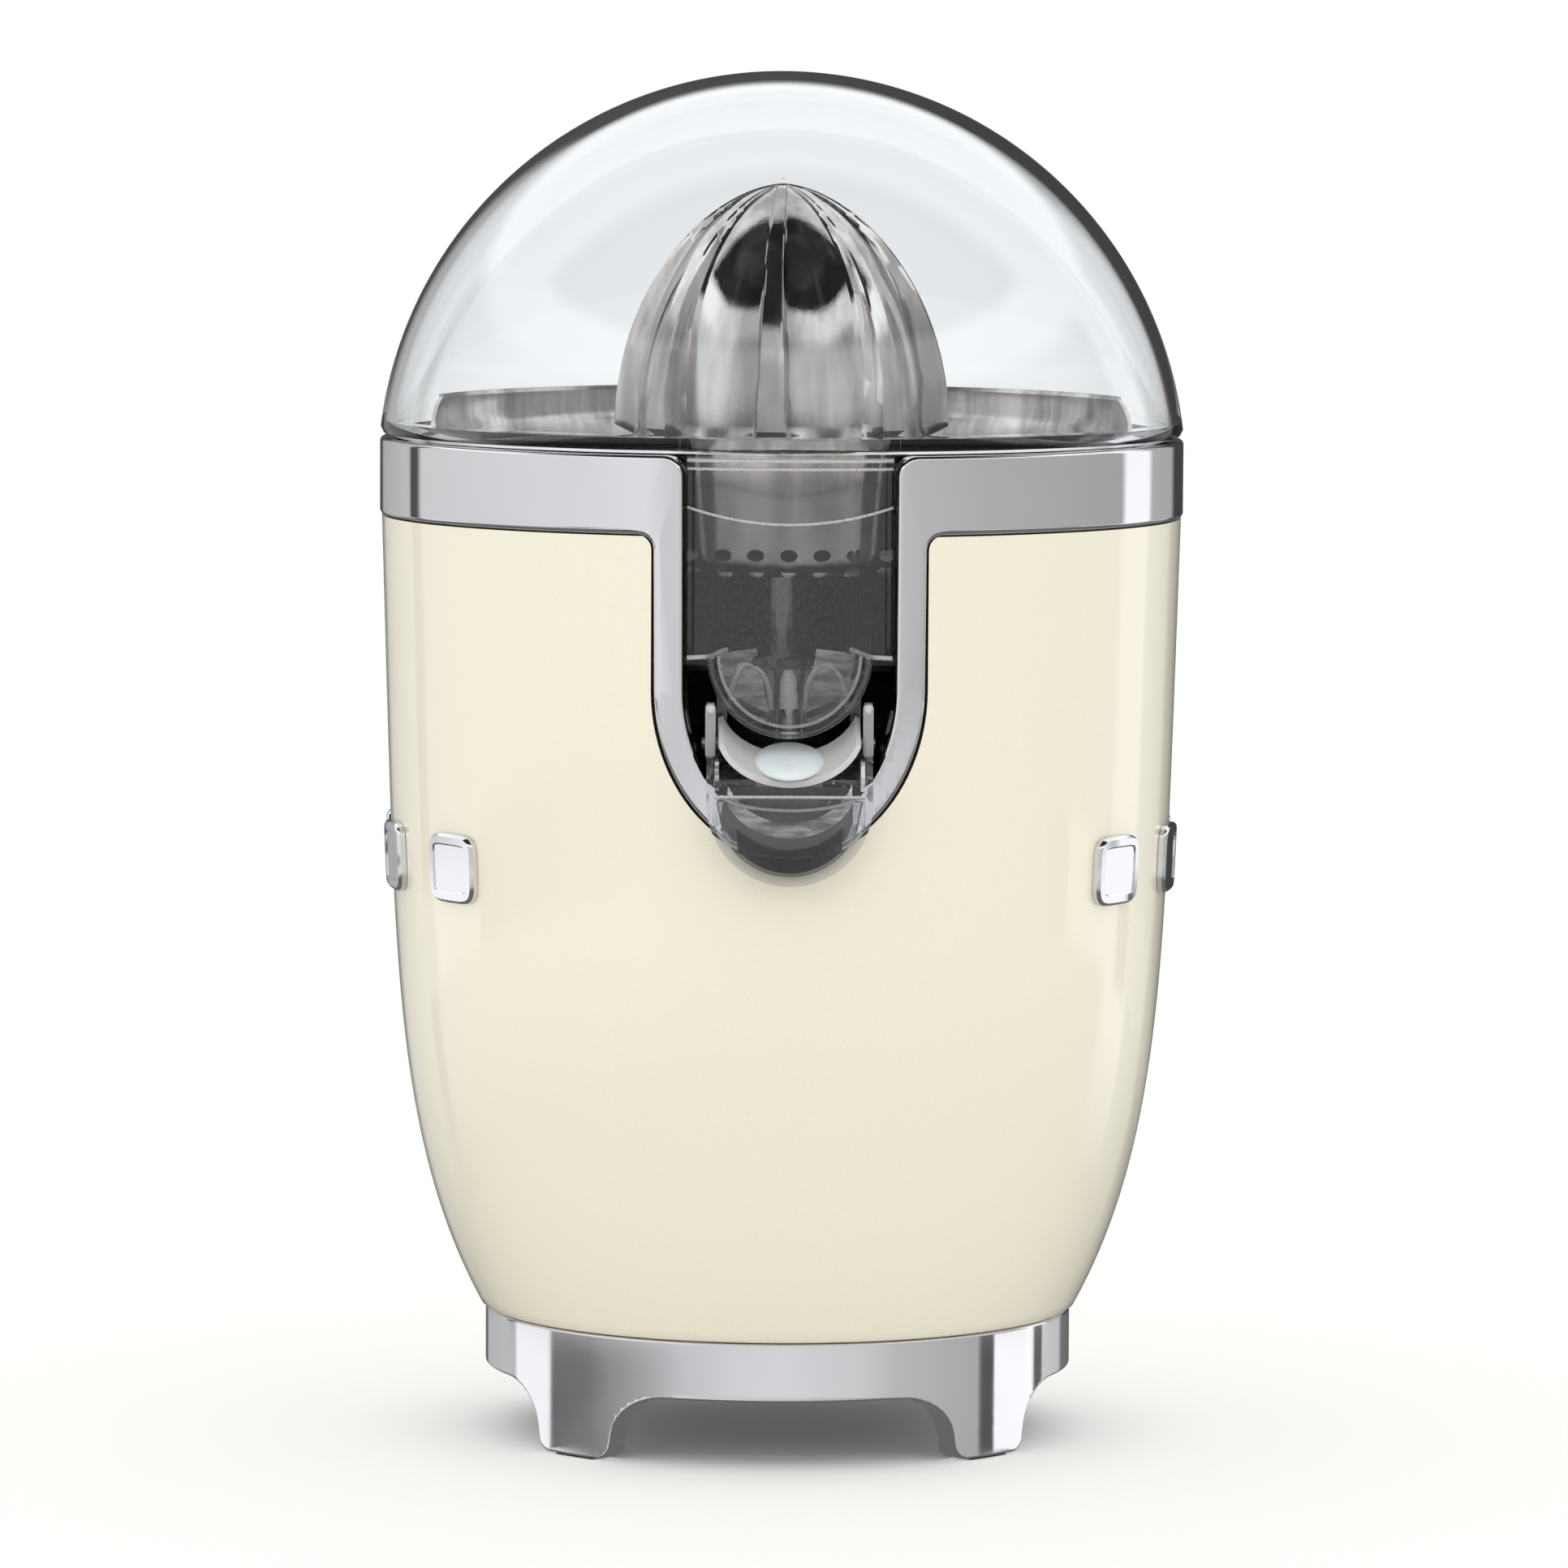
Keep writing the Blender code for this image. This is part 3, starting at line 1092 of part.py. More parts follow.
def lid():
    """A shell between two spheres, standing on a short foot that fits inside the band's top edge."""
    inner_radius = LID_RADIUS - LID_WALL
    low = BAND_TOP + GAP
    seat_inner = LID_SEAT_RADIUS - LID_WALL
    start = math.degrees(math.asin((low + 0.0015 - LID_CENTRE) / LID_RADIUS))
    outer = arc((0, LID_CENTRE), (LID_RADIUS, LID_RADIUS), start, 90, 6)
    outer = [(min(r, BAND_RADIUS), z) for r, z in outer[:-1]]
    start = math.degrees(math.acos(seat_inner / inner_radius))
    inner = arc((0, LID_CENTRE), (inner_radius, inner_radius), start, 90, 6)
    foot = [(LID_SEAT_RADIUS, low), (seat_inner, low)]
    profile = [(0, OVERALL_HEIGHT), *reversed(outer), *foot, *inner[:-1], (0, OVERALL_HEIGHT - LID_WALL)]
    return turned("lid", profile, clear_plastic("lid_plastic"))


def main():
    clear_scene()
    housing_shell()
    trim_ring()
    base_ring()
    foot_pads()
    base_plate()
    base_screws()
    cord_inlet()
    badge_studs()
    well_liner()
    shaft_bushes()
    gearbox()
    gearbox_screws()
    tie_bolts()
    motor()
    motor_screws()
    compound_gear()
    rotor()
    drive_shaft()
    thrust_plunger()
    return_spring()
    microswitch()
    switch_lever()
    switch_bracket()
    juice_bowl()
    spout()
    spout_pins()
    spout_seal()
    strainer()
    reamer_cone()
    reamer_hub()
    lid()


main()
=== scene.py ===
"""The looks of the citrus press: smooth shells, clear plastics, chrome, steel and studio light."""

import json
import math

import bmesh
import bpy
from mathutils import Matrix, Quaternion, Vector

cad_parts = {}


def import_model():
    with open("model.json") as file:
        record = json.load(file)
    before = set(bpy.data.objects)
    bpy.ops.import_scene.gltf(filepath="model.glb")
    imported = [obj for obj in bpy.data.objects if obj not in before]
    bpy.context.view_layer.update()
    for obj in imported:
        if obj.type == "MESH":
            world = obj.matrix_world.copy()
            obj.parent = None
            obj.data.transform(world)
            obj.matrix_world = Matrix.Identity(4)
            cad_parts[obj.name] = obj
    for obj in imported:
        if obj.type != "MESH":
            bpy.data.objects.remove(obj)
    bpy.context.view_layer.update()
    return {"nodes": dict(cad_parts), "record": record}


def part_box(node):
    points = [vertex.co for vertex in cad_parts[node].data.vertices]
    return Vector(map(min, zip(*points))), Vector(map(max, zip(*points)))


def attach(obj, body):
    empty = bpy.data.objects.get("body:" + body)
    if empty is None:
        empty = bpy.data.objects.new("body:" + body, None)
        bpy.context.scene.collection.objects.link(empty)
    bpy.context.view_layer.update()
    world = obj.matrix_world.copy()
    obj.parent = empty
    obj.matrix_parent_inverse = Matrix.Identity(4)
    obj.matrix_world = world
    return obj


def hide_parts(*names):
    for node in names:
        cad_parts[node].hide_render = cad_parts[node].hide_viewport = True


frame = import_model()
CAD = frame["nodes"]

# ---- sizes, in metres, from the frame where it has them ------------------------------------
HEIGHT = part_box("lid")[1].z
BAND_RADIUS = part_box("trim_ring")[1].x
BAND_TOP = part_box("trim_ring")[1].z
BAND_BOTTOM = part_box("housing_shell")[1].z + 0.0003
BODY_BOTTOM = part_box("housing_shell")[0].z
BODY_TOP_RADIUS = BAND_RADIUS - 0.0004
BODY_TAPER = 0.0047
BODY_PULL_IN = 0.0163
BODY_POWER = 5.25
BASE_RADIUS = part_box("base_ring")[1].x
BASE_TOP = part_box("base_ring")[1].z
OPENING_HALF = 0.02125
OPENING_SHOULDER = 0.1585
OPENING_DEPTH = 0.027
TRIM_WIDTH = 0.006
TRIM_PROUD = 0.0007
SPOUT_PIVOT = (-0.070, 0.1475)
REAMER_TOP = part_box("reamer_cone")[1].z
REAMER_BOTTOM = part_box("reamer_cone")[0].z
REAMER_RIB_RADIUS = 0.0344
REAMER_RIB_BASE = 0.207
REAMER_RIBS = 8
REAMER_TURN = math.radians(-5)
STRAINER_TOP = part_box("strainer")[1].z
STRAINER_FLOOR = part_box("strainer")[0].z
BOWL_FLOOR = 0.160
BOWL_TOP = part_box("juice_bowl")[1].z
TROUGH_RADIUS = 0.0162
TROUGH_LEVEL = 0.1654
FINE = 192
MIDDLING = 160
SHARP = 35


def body_radius(z):
    t = min(1.0, max(0.0, (BAND_BOTTOM - z) / (BAND_BOTTOM - BODY_BOTTOM)))
    return BODY_TOP_RADIUS - BODY_TAPER * t - BODY_PULL_IN * t**BODY_POWER


# ---- node helpers --------------------------------------------------------------------------
class Look:
    """A material with a Principled shader, and short calls for the nodes that feed it."""

    def __init__(self, name, colour, roughness, **fixed):
        self.made = bpy.data.materials.new(name)
        self.made.use_nodes = True
        self.nodes = self.made.node_tree.nodes
        self.links = self.made.node_tree.links
        self.shader = self.nodes["Principled BSDF"]
        self.set("Base Color", (*colour, 1.0))
        self.set("Roughness", roughness)
        for key, value in fixed.items():
            self.set(key.replace("_", " "), value)
        self.place = self.nodes.new("ShaderNodeTexCoord").outputs["Object"]

    def set(self, socket, value):
        self.shader.inputs[socket].default_value = value

    def node(self, kind, **inputs):
        made = self.nodes.new(kind)
        for key, value in inputs.items():
            made.inputs[key.replace("_", " ")].default_value = value
        return made

    def noise(self, scale, detail=2.0, roughness=0.5, stretch=None):
        texture = self.node("ShaderNodeTexNoise", Scale=scale, Detail=detail, Roughness=roughness)
        source = self.place
        if stretch:
            mapping = self.node("ShaderNodeMapping")
            mapping.inputs["Scale"].default_value = stretch
            self.links.new(source, mapping.inputs["Vector"])
            source = mapping.outputs["Vector"]
        self.links.new(source, texture.inputs["Vector"])
        return texture.outputs["Fac"]

    def spread(self, source, low, high, start=0.3, end=0.7):
        """Maps a 0 to 1 value to a range."""
        ranged = self.nodes.new("ShaderNodeMapRange")
        for key, value in (("From Min", start), ("From Max", end), ("To Min", low), ("To Max", high)):
            ranged.inputs[key].default_value = value
        self.links.new(source, ranged.inputs["Value"])
        return ranged.outputs["Result"]

    def two_colours(self, source, first, second, start=0.3, end=0.7):
        ramp = self.nodes.new("ShaderNodeValToRGB")
        ramp.color_ramp.elements[0].position = start
        ramp.color_ramp.elements[1].position = end
        ramp.color_ramp.elements[0].color = (*first, 1.0)
        ramp.color_ramp.elements[1].color = (*second, 1.0)
        self.links.new(source, ramp.inputs["Fac"])
        self.links.new(ramp.outputs["Color"], self.shader.inputs["Base Color"])
        return self

    def rough(self, source, low, high):
        self.links.new(self.spread(source, low, high), self.shader.inputs["Roughness"])
        return self

    def bump(self, source, height):
        bump = self.node("ShaderNodeBump", Strength=1.0, Distance=height)
        self.links.new(source, bump.inputs["Height"])
        self.links.new(bump.outputs["Normal"], self.shader.inputs["Normal"])
        return self


def cream_paint():
    look = Look("cream_paint", (0.86, 0.815, 0.655), 0.36, Coat_Weight=1.0, Coat_Roughness=0.03)
    fleck = look.noise(5200, 1.0)
    look.two_colours(fleck, (0.835, 0.785, 0.615), (0.885, 0.85, 0.705), 0.25, 0.75)
    look.rough(look.noise(2600, 2.0), 0.30, 0.42)
    return look.made


def chrome():
    look = Look("chrome_plate", (0.80, 0.80, 0.82), 0.05, Metallic=1.0)
    look.two_colours(look.noise(18, 3.0), (0.76, 0.76, 0.785), (0.83, 0.83, 0.85))
    look.rough(look.noise(60, 4.0), 0.035, 0.075)
    return look.made


def reamer_steel():
    look = Look("reamer_steel", (0.70, 0.67, 0.65), 0.2, Metallic=1.0)
    # Painted reflections: stretched noise makes lighter and darker upright streaks in the colour, which
    # stand in for reflections on the steel.
    painted_light_streaks = look.noise(85, 3.0, 0.55, (1, 1, 0.12))
    look.two_colours(painted_light_streaks, (0.40, 0.378, 0.362), (0.88, 0.855, 0.835), 0.38, 0.62)
    split = look.nodes.new("ShaderNodeSeparateXYZ")
    look.links.new(look.place, split.inputs[0])
    height = look.spread(split.outputs["Z"], 0.26, 0.05, REAMER_BOTTOM + 0.012, REAMER_TOP - 0.022)
    vary = look.spread(look.noise(240, 3.0, 0.6, (1, 1, 0.08)), -0.03, 0.05)
    add = look.nodes.new("ShaderNodeMath")
    add.operation = "ADD"
    look.links.new(height, add.inputs[0])
    look.links.new(vary, add.inputs[1])
    look.links.new(add.outputs[0], look.shader.inputs["Roughness"])
    look.bump(look.noise(900, 2.0, 0.5, (1, 1, 0.05)), 0.00002)
    return look.made


def strainer_steel():
    look = Look("strainer_steel", (0.66, 0.635, 0.615), 0.2, Metallic=1.0)
    # Painted shade: the colour falls to near black below the top of the band, where the bowl and well shade
    # the wall; the upright streaks multiplied in are painted reflections.
    split = look.nodes.new("ShaderNodeSeparateXYZ")
    look.links.new(look.place, split.inputs[0])
    shade = look.nodes.new("ShaderNodeMath")
    shade.operation = "MULTIPLY"
    height = look.spread(split.outputs["Z"], 0.25, 1.0, BAND_TOP - 0.006, BAND_TOP + 0.001)
    look.links.new(height, shade.inputs[0])
    painted_light_streaks = look.noise(150, 3.0, 0.6, (1, 1, 0.12))
    look.links.new(look.spread(painted_light_streaks, 0.35, 1.0), shade.inputs[1])
    look.two_colours(shade.outputs[0], (0.07, 0.07, 0.072), (0.74, 0.705, 0.68), 0.0, 1.0)
    look.rough(look.noise(130, 3.0, 0.5, (1, 1, 6)), 0.10, 0.24)
    look.bump(look.noise(500, 2.0, 0.5, (1, 1, 8)), 0.00001)
    return look.made


def plain_steel():
    look = Look("plain_steel", (0.5, 0.5, 0.51), 0.35, Metallic=1.0)
    look.two_colours(look.noise(160), (0.42, 0.42, 0.43), (0.58, 0.58, 0.59))
    return look.rough(look.noise(400), 0.25, 0.45).made


def clear(name, colour, roughness=0.015):
    look = Look(name, colour, roughness, Transmission_Weight=1.0, IOR=1.47)
    return look.rough(look.noise(40, 3.0), roughness * 0.5, roughness * 1.5).made


def frosted():
    look = Look("frosted_plastic", (0.93, 0.935, 0.945), 0.4, Transmission_Weight=0.45, IOR=1.45)
    look.rough(look.noise(900, 2.0), 0.32, 0.5)
    return look.bump(look.noise(3000, 1.0), 0.00002).made


# Pale lines painted as highlights along edges and small mouldings of the clear plastic.
def painted_highlight_look():
    look = Look("pale_line_painted_highlight", (0.93, 0.94, 0.95), 0.3, Transmission_Weight=0.6, IOR=1.45)
    return look.rough(look.noise(600), 0.2, 0.4).made


def painted_highlight_streaks_look():
    """Clear plastic with pale wavy streaks painted in as highlights, as where thick mouldings catch the
    light.
    """
    look = Look("plastic_painted_highlights", (0.9, 0.9, 0.91), 0.12, IOR=1.47)
    painted_light_streaks = look.noise(260, 3.0, 0.6, (0.35, 1, 1.6))
    look.links.new(look.spread(painted_light_streaks, 0.30, 0.95, 0.42, 0.60), look.shader.inputs["Transmission Weight"])
    look.two_colours(painted_light_streaks, (0.88, 0.89, 0.90), (0.80, 0.81, 0.83))
    return look.made


def moulded(name, shade, spread=0.15, roughness=0.5, tint=(1, 1, 1)):
    look = Look(name, tuple(shade * t for t in tint), roughness)
    low = tuple(shade * t * (1 - spread) for t in tint)
    high = tuple(min(1.0, shade * t * (1 + spread)) for t in tint)
    look.two_colours(look.noise(220, 3.0), low, high)
    look.rough(look.noise(700, 2.0), roughness - 0.08, roughness + 0.1)
    return look.bump(look.noise(2400, 2.0), 0.00003).made


def metal(name, low, high, roughness):
    look = Look(name, high, roughness, Metallic=1.0)
    look.two_colours(look.noise(200), low, high)
    return look.rough(look.noise(500), roughness * 0.7, roughness * 1.3).made


def silicone():
    look = Look("white_silicone", (0.88, 0.88, 0.87), 0.45, Subsurface_Weight=0.2)
    look.two_colours(look.noise(300), (0.84, 0.84, 0.83), (0.92, 0.92, 0.91))
    return look.bump(look.noise(1800), 0.00003).made


LOOKS = {
    "cream": cream_paint(),
    "chrome": chrome(),
    "reamer": reamer_steel(),
    "strainer": strainer_steel(),
    "steel": plain_steel(),
    "lid": clear("lid_plastic", (0.955, 0.972, 0.985)),
    "bowl": clear("bowl_plastic", (0.97, 0.975, 0.98)),
    "spout": clear("spout_plastic", (0.86, 0.87, 0.885)),
    "frosted": frosted(),
    "liner": moulded("liner_plastic", 0.085, roughness=0.25),
    "black": moulded("black_plastic", 0.03),
    "rubber": moulded("black_rubber", 0.02, roughness=0.75),
    "white": moulded("white_nylon", 0.75, 0.06, tint=(1, 0.99, 0.95)),
    "bronze": metal("bush_bronze", (0.40, 0.27, 0.13), (0.55, 0.39, 0.2), 0.45),
    "brass": metal("pinion_brass", (0.6, 0.45, 0.2), (0.75, 0.58, 0.3), 0.3),
    "silicone": silicone(),
    "edge": metal("chrome_edge_in_shade", (0.02, 0.02, 0.022), (0.05, 0.05, 0.055), 0.12),
    # Pale lines painted as highlights.
    "painted_highlight": painted_highlight_look(),
    # Grey tint painted as shade in the spout's thick end.
    "lens": clear("spout_end_plastic", (0.72, 0.73, 0.745), 0.05),
    # Near-black plastic painted as shade along the spout's lower edge.
    "dark_painted_shade": clear("spout_edge_painted_shade", (0.16, 0.16, 0.17), 0.05),
    # Clear plastic with painted highlight streaks.
    "painted_highlight_streaks": painted_highlight_streaks_look(),
}


# ---- mesh helpers --------------------------------------------------------------------------
def arc(centre, radii, start, end, count):
    """Points on an ellipse between two angles in degrees."""
    steps = [math.radians(start + (end - start) * i / count) for i in range(count + 1)]
    return [(centre[0] + radii[0] * math.cos(a), centre[1] + radii[1] * math.sin(a)) for a in steps]


def finish(bm, name, look=None, sharp=SHARP):
    """Turns a bmesh into a smooth-shaded object with its look."""
    bmesh.ops.recalc_face_normals(bm, faces=bm.faces)
    mesh = bpy.data.meshes.new(name)
    bm.to_mesh(mesh)
    bm.free()
    obj = bpy.data.objects.new(name, mesh)
    bpy.context.scene.collection.objects.link(obj)
    if look:
        mesh.materials.append(LOOKS[look])
    mesh.shade_smooth()
    mesh.set_sharp_from_angle(angle=math.radians(sharp))
    return obj


def piece(obj, body, slot, *nodes):
    """Puts a finished piece on its body, in place of the CAD nodes it stands for."""
    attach(obj, body)
    if nodes:
        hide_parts(*nodes)
    return obj


def turned(name, outline, look=None, steps=FINE, centre=(0, 0)):
    """An outline of (radius, height) turned round an upright axis through centre."""
    bm = bmesh.new()
    verts = [bm.verts.new((r, 0, z)) for r, z in outline]
    pairs = list(zip(verts, verts[1:]))
    if not (outline[0][0] == 0 and outline[-1][0] == 0):
        pairs.append((verts[-1], verts[0]))
    edges = [bm.edges.new(pair) for pair in pairs]
    bmesh.ops.spin(bm, geom=verts + edges, cent=(0, 0, 0), axis=(0, 0, 1), angle=math.tau, steps=steps)
    bmesh.ops.remove_doubles(bm, verts=bm.verts, dist=1e-6)
    bmesh.ops.translate(bm, verts=bm.verts, vec=(*centre, 0))
    return finish(bm, name, look)


def prism(name, outline, axis, low, high, look=None):
    """A plate with a flat outline, from low to high along an axis."""
    places = {
        "X": lambda a, b: (low, a, b),
        "Y": lambda a, b: (a, low, b),
        "Z": lambda a, b: (a, b, low),
    }
    place = places[axis]
    bm = bmesh.new()
    face = bm.faces.new([bm.verts.new(place(a, b)) for a, b in outline])
    moved = bmesh.ops.extrude_face_region(bm, geom=[face])["geom"]
    step = Vector([high - low if letter == axis else 0 for letter in "XYZ"])
    bmesh.ops.translate(bm, verts=[v for v in moved if isinstance(v, bmesh.types.BMVert)], vec=step)
    return finish(bm, name, look)


def box(name, low, high, look=None):
    outline = [(low[0], low[1]), (high[0], low[1]), (high[0], high[1]), (low[0], high[1])]
    return prism(name, outline, "Z", low[2], high[2], look)


def boolean(obj, operation, *others):
    """Applies a Boolean with each other object, and removes it."""
    for other in others:
        change = obj.modifiers.new("boolean", "BOOLEAN")
        change.operation = operation
        change.object = other
        settle(obj)
        bpy.data.objects.remove(other, do_unlink=True)
    return obj


def settle(obj):
    """Applies every modifier of an object."""
    graph = bpy.context.evaluated_depsgraph_get()
    mesh = bpy.data.meshes.new_from_object(obj.evaluated_get(graph))
    obj.modifiers.clear()
    obj.data = mesh
    mesh.shade_smooth()
    mesh.set_sharp_from_angle(angle=math.radians(SHARP))
    return obj


def soften(obj, width):
    """Small round edges."""
    bevel = obj.modifiers.new("soft_edges", "BEVEL")
    bevel.width = width
    bevel.segments = 3
    bevel.limit_method = "ANGLE"
    bevel.angle_limit = math.radians(40)
    bevel.use_clamp_overlap = True
    return settle(obj)


def even_out(obj):
    """Lets the large faces set the normals, so that a flat stretch reflects as flat up to its edge."""
    change = obj.modifiers.new("even_normals", "WEIGHTED_NORMAL")
    change.keep_sharp = True
    change.weight = 100
    graph = bpy.context.evaluated_depsgraph_get()
    obj.data = bpy.data.meshes.new_from_object(obj.evaluated_get(graph))
    obj.modifiers.clear()
    return obj


def wrapped(name, outline, radius_at, wrap_radius, thickness, edge, look, cut_at=None, columns=240):
    """A flat plate with rounded edges, drawn as (arc length, height), bent round the vertical axis.

    With cut_at the plate is trimmed there on both sides, and its two ends meet behind the object.
    """
    bm = bmesh.new()
    face = bm.faces.new([bm.verts.new((u, thickness, z)) for u, z in outline])
    if face.normal.y < 0:
        face.normal_flip()
    moved = bmesh.ops.extrude_face_region(bm, geom=[face])["geom"]
    front = [f for f in moved if isinstance(f, bmesh.types.BMFace)]
    for vert in (v for v in moved if isinstance(v, bmesh.types.BMVert)):
        vert.co.y = edge
    bmesh.ops.recalc_face_normals(bm, faces=bm.faces)
    steps = 4
    angles = [math.pi / 2 * i / steps for i in range(steps + 1)]
    for low, high in zip(angles, angles[1:]):
        inward = edge * (math.cos(low) - math.cos(high))
        outward = edge * (math.sin(high) - math.sin(low))
        bmesh.ops.inset_region(bm, faces=front, thickness=inward, depth=outward, use_even_offset=True)
    reach = max(u for u, _ in outline)
    if cut_at:
        reach = cut_at
        for side in (-1, 1):
            everything = bm.verts[:] + bm.edges[:] + bm.faces[:]
            bmesh.ops.bisect_plane(
                bm, geom=everything, plane_co=(side * cut_at, 0, 0), plane_no=(side, 0, 0), clear_outer=True
            )
    bmesh.ops.triangulate(bm, faces=[f for f in bm.faces if len(f.verts) > 4])
    for i in range(1, columns):
        u = -reach + 2 * reach * i / columns
        everything = bm.verts[:] + bm.edges[:] + bm.faces[:]
        bmesh.ops.bisect_plane(bm, geom=everything, plane_co=(u, 0, 0), plane_no=(1, 0, 0), dist=1e-6)
    for vert in bm.verts:
        u, depth, z = vert.co
        r = radius_at(z) - depth
        vert.co = (r * math.sin(u / wrap_radius), -r * math.cos(u / wrap_radius), z)
    bmesh.ops.remove_doubles(bm, verts=bm.verts, dist=2e-6)
    return even_out(finish(bm, name, look, 28))


# ---- chrome and body -----------------------------------------------------------------------
def unroll(x):
    """Arc length on the band of a point that is x to the right seen from the front."""
    return BAND_RADIUS * math.asin(x / BAND_RADIUS)


def opening(grow, top):
    """The U of the front opening, wider by grow on every side, with its two ends at the height top."""
    half = OPENING_HALF + grow
    bottom = arc((0, OPENING_SHOULDER), (half, OPENING_DEPTH + grow), 180, 360, 48)
    return [(-half, top), *bottom, (half, top)]


def body_shell():
    top = BAND_BOTTOM - 0.0003
    levels = [BODY_BOTTOM + (top - BODY_BOTTOM) * i / 72 for i in range(73)]
    wall = 0.003
    chamfer = 0.0006
    outer = [(body_radius(z), z) for z in levels]
    outer[0] = (outer[0][0] - chamfer, outer[0][1])
    outer.insert(1, (body_radius(levels[0] + chamfer), levels[0] + chamfer))
    inner = [(body_radius(z) - wall, z) for z in reversed(levels[2:])]
    seat = BODY_BOTTOM + wall
    hole = 0.040
    foot = [(body_radius(BODY_BOTTOM) - wall, seat), (hole, seat), (hole, BODY_BOTTOM)]
    shell = turned("body_shell", outer + inner + foot, "cream")
    grow = TRIM_WIDTH + 0.00015
    half = OPENING_HALF + grow
    corner = 0.0030
    lift = top + 0.01
    left = arc((-half - corner, top - corner + 0.0003), (corner, corner), 90, 0, 8)
    right = arc((half + corner, top - corner + 0.0003), (corner, corner), 180, 90, 8)
    outline = [(-half - corner, lift), *left, *opening(grow, 0)[1:-1], *right, (half + corner, lift)]
    boolean(shell, "DIFFERENCE", prism("notch", outline, "Y", -0.1, -0.05))
    piece(shell, "housing", "cream_paint", "housing_shell")


def trim():
    corner = 0.0040
    fillet = 0.0030
    half = OPENING_HALF
    wide = half + TRIM_WIDTH
    far = math.pi * BAND_RADIUS + 0.005
    top_left = arc((-half - corner, BAND_TOP - corner), (corner, corner), 90, 0, 8)
    top_right = arc((half + corner, BAND_TOP - corner), (corner, corner), 180, 90, 8)
    inner = [*top_left, *opening(0, 0)[1:-1], *top_right]
    low_right = arc((wide + fillet, BAND_BOTTOM - fillet), (fillet, fillet), 90, 180, 8)
    low_left = arc((-wide - fillet, BAND_BOTTOM - fillet), (fillet, fillet), 0, 90, 8)
    outer = [*low_right, *reversed(opening(TRIM_WIDTH, 0)[1:-1]), *low_left]
    outline = [(-far, BAND_TOP), *[(unroll(x), z) for x, z in inner], (far, BAND_TOP), (far, BAND_BOTTOM)]
    outline += [*[(unroll(x), z) for x, z in outer], (-far, BAND_BOTTOM)]

    def radius_at(z):
        return min(BAND_RADIUS, body_radius(z) + TRIM_PROUD)

    ring = wrapped(
        "trim_ring_smooth", outline, radius_at, BAND_RADIUS, 0.0036, 0.0009, "chrome", math.pi * BAND_RADIUS
    )
    # Painted shade: the faces round the inside of the opening get a near-black metal that stands for chrome
    # in shade.
    ring.data.materials.append(LOOKS["edge"])
    lip = 0.0011
    for face in ring.data.polygons:
        across = abs(face.center.x) / (OPENING_HALF + lip)
        down = max(0.0, OPENING_SHOULDER - face.center.z) / (OPENING_DEPTH + lip)
        in_opening = face.center.y < 0 and across**2 + down**2 < 1
        faces_front = -face.normal.y > 0.93
        if in_opening and not faces_front:
            face.material_index = 1
    piece(ring, "housing", "chrome", "trim_ring")


def base():
    quarter = math.pi * BASE_RADIUS / 2
    top, low = BASE_TOP, 0.0004
    arch_flat, arch_bend, arch_top = 0.0241, 0.0127, 0.0138
    bend_low = 0.0046
    toe = 0.0033
    half = arc((arch_flat, bend_low), (arch_bend, arch_top - bend_low), 90, 8, 8)
    half += arc((0.0404, low + toe), (toe, toe), 180, 270, 6)
    bottom = []
    for i in range(-2, 3):
        centre = i * quarter
        left = [(centre - s, z) for s, z in reversed(half)]
        right = [(centre + s, z) for s, z in half]
        bottom += left + right
    far = 2 * quarter
    bottom = [(u, z) for u, z in bottom if -far - 0.03 < u < far + 0.03]
    outline = [(bottom[0][0], top), *bottom, (bottom[-1][0], top)]
    outline.reverse()
    ring = wrapped(
        "base_ring_smooth", outline, lambda z: BASE_RADIUS, BASE_RADIUS, 0.0055, 0.0005, "chrome", far
    )
    piece(ring, "housing", "chrome", "base_ring")
    rim = BASE_RADIUS - 0.0057
    inner = 0.044
    ledge = [(inner, top - 0.003), (rim, top - 0.003), (rim, top - 0.0002), (inner, top - 0.0002)]
    plate = turned("base_ledge", ledge, "chrome", 96)
    piece(plate, "housing", "chrome")


def studs():
    """Plain rounded lozenges with a soft dome, in place of applied lettering."""
    half_width, roundness, depth = 0.0078, 0.42, 0.0010
    for word in ("left", "right"):
        for i in range(1, 5):
            name = f"badge_stud_{word}_{i}"
            low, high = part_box(name)
            middle = (low + high) / 2
            azimuth = math.atan2(middle.x, -middle.y)
            height = high.z - low.z
            bm = bmesh.new()
            ring = []
            for k in range(48):
                angle = math.tau * k / 48
                c, s = math.cos(angle), math.sin(angle)
                x = half_width * math.copysign(abs(c) ** roundness, c)
                z = height / 2 * math.copysign(abs(s) ** roundness, s)
                ring.append(bm.verts.new((x, 0, z)))
            face = bm.faces.new(ring)
            moved = bmesh.ops.extrude_face_region(bm, geom=[face])["geom"]
            front = [f for f in moved if isinstance(f, bmesh.types.BMFace)]
            for vert in (v for v in moved if isinstance(v, bmesh.types.BMVert)):
                vert.co.y = -depth
            bmesh.ops.recalc_face_normals(bm, faces=bm.faces)
            for inward, outward in ((0.0002, 0.00035), (0.0004, 0.0003), (0.0014, 0.0), (0.0003, -0.0003)):
                bmesh.ops.inset_region(bm, faces=front, thickness=inward, depth=outward)
            seat = body_radius(middle.z + height / 2)
            for vert in bm.verts:
                x, y, z = vert.co
                turn = azimuth + x / seat
                r = body_radius(middle.z + z) + 0.0001 - y
                vert.co = (r * math.sin(turn), -r * math.cos(turn), middle.z + z)
            stud = finish(bm, f"{name}_smooth", "chrome", 28)
            piece(stud, "housing", "chrome", name)


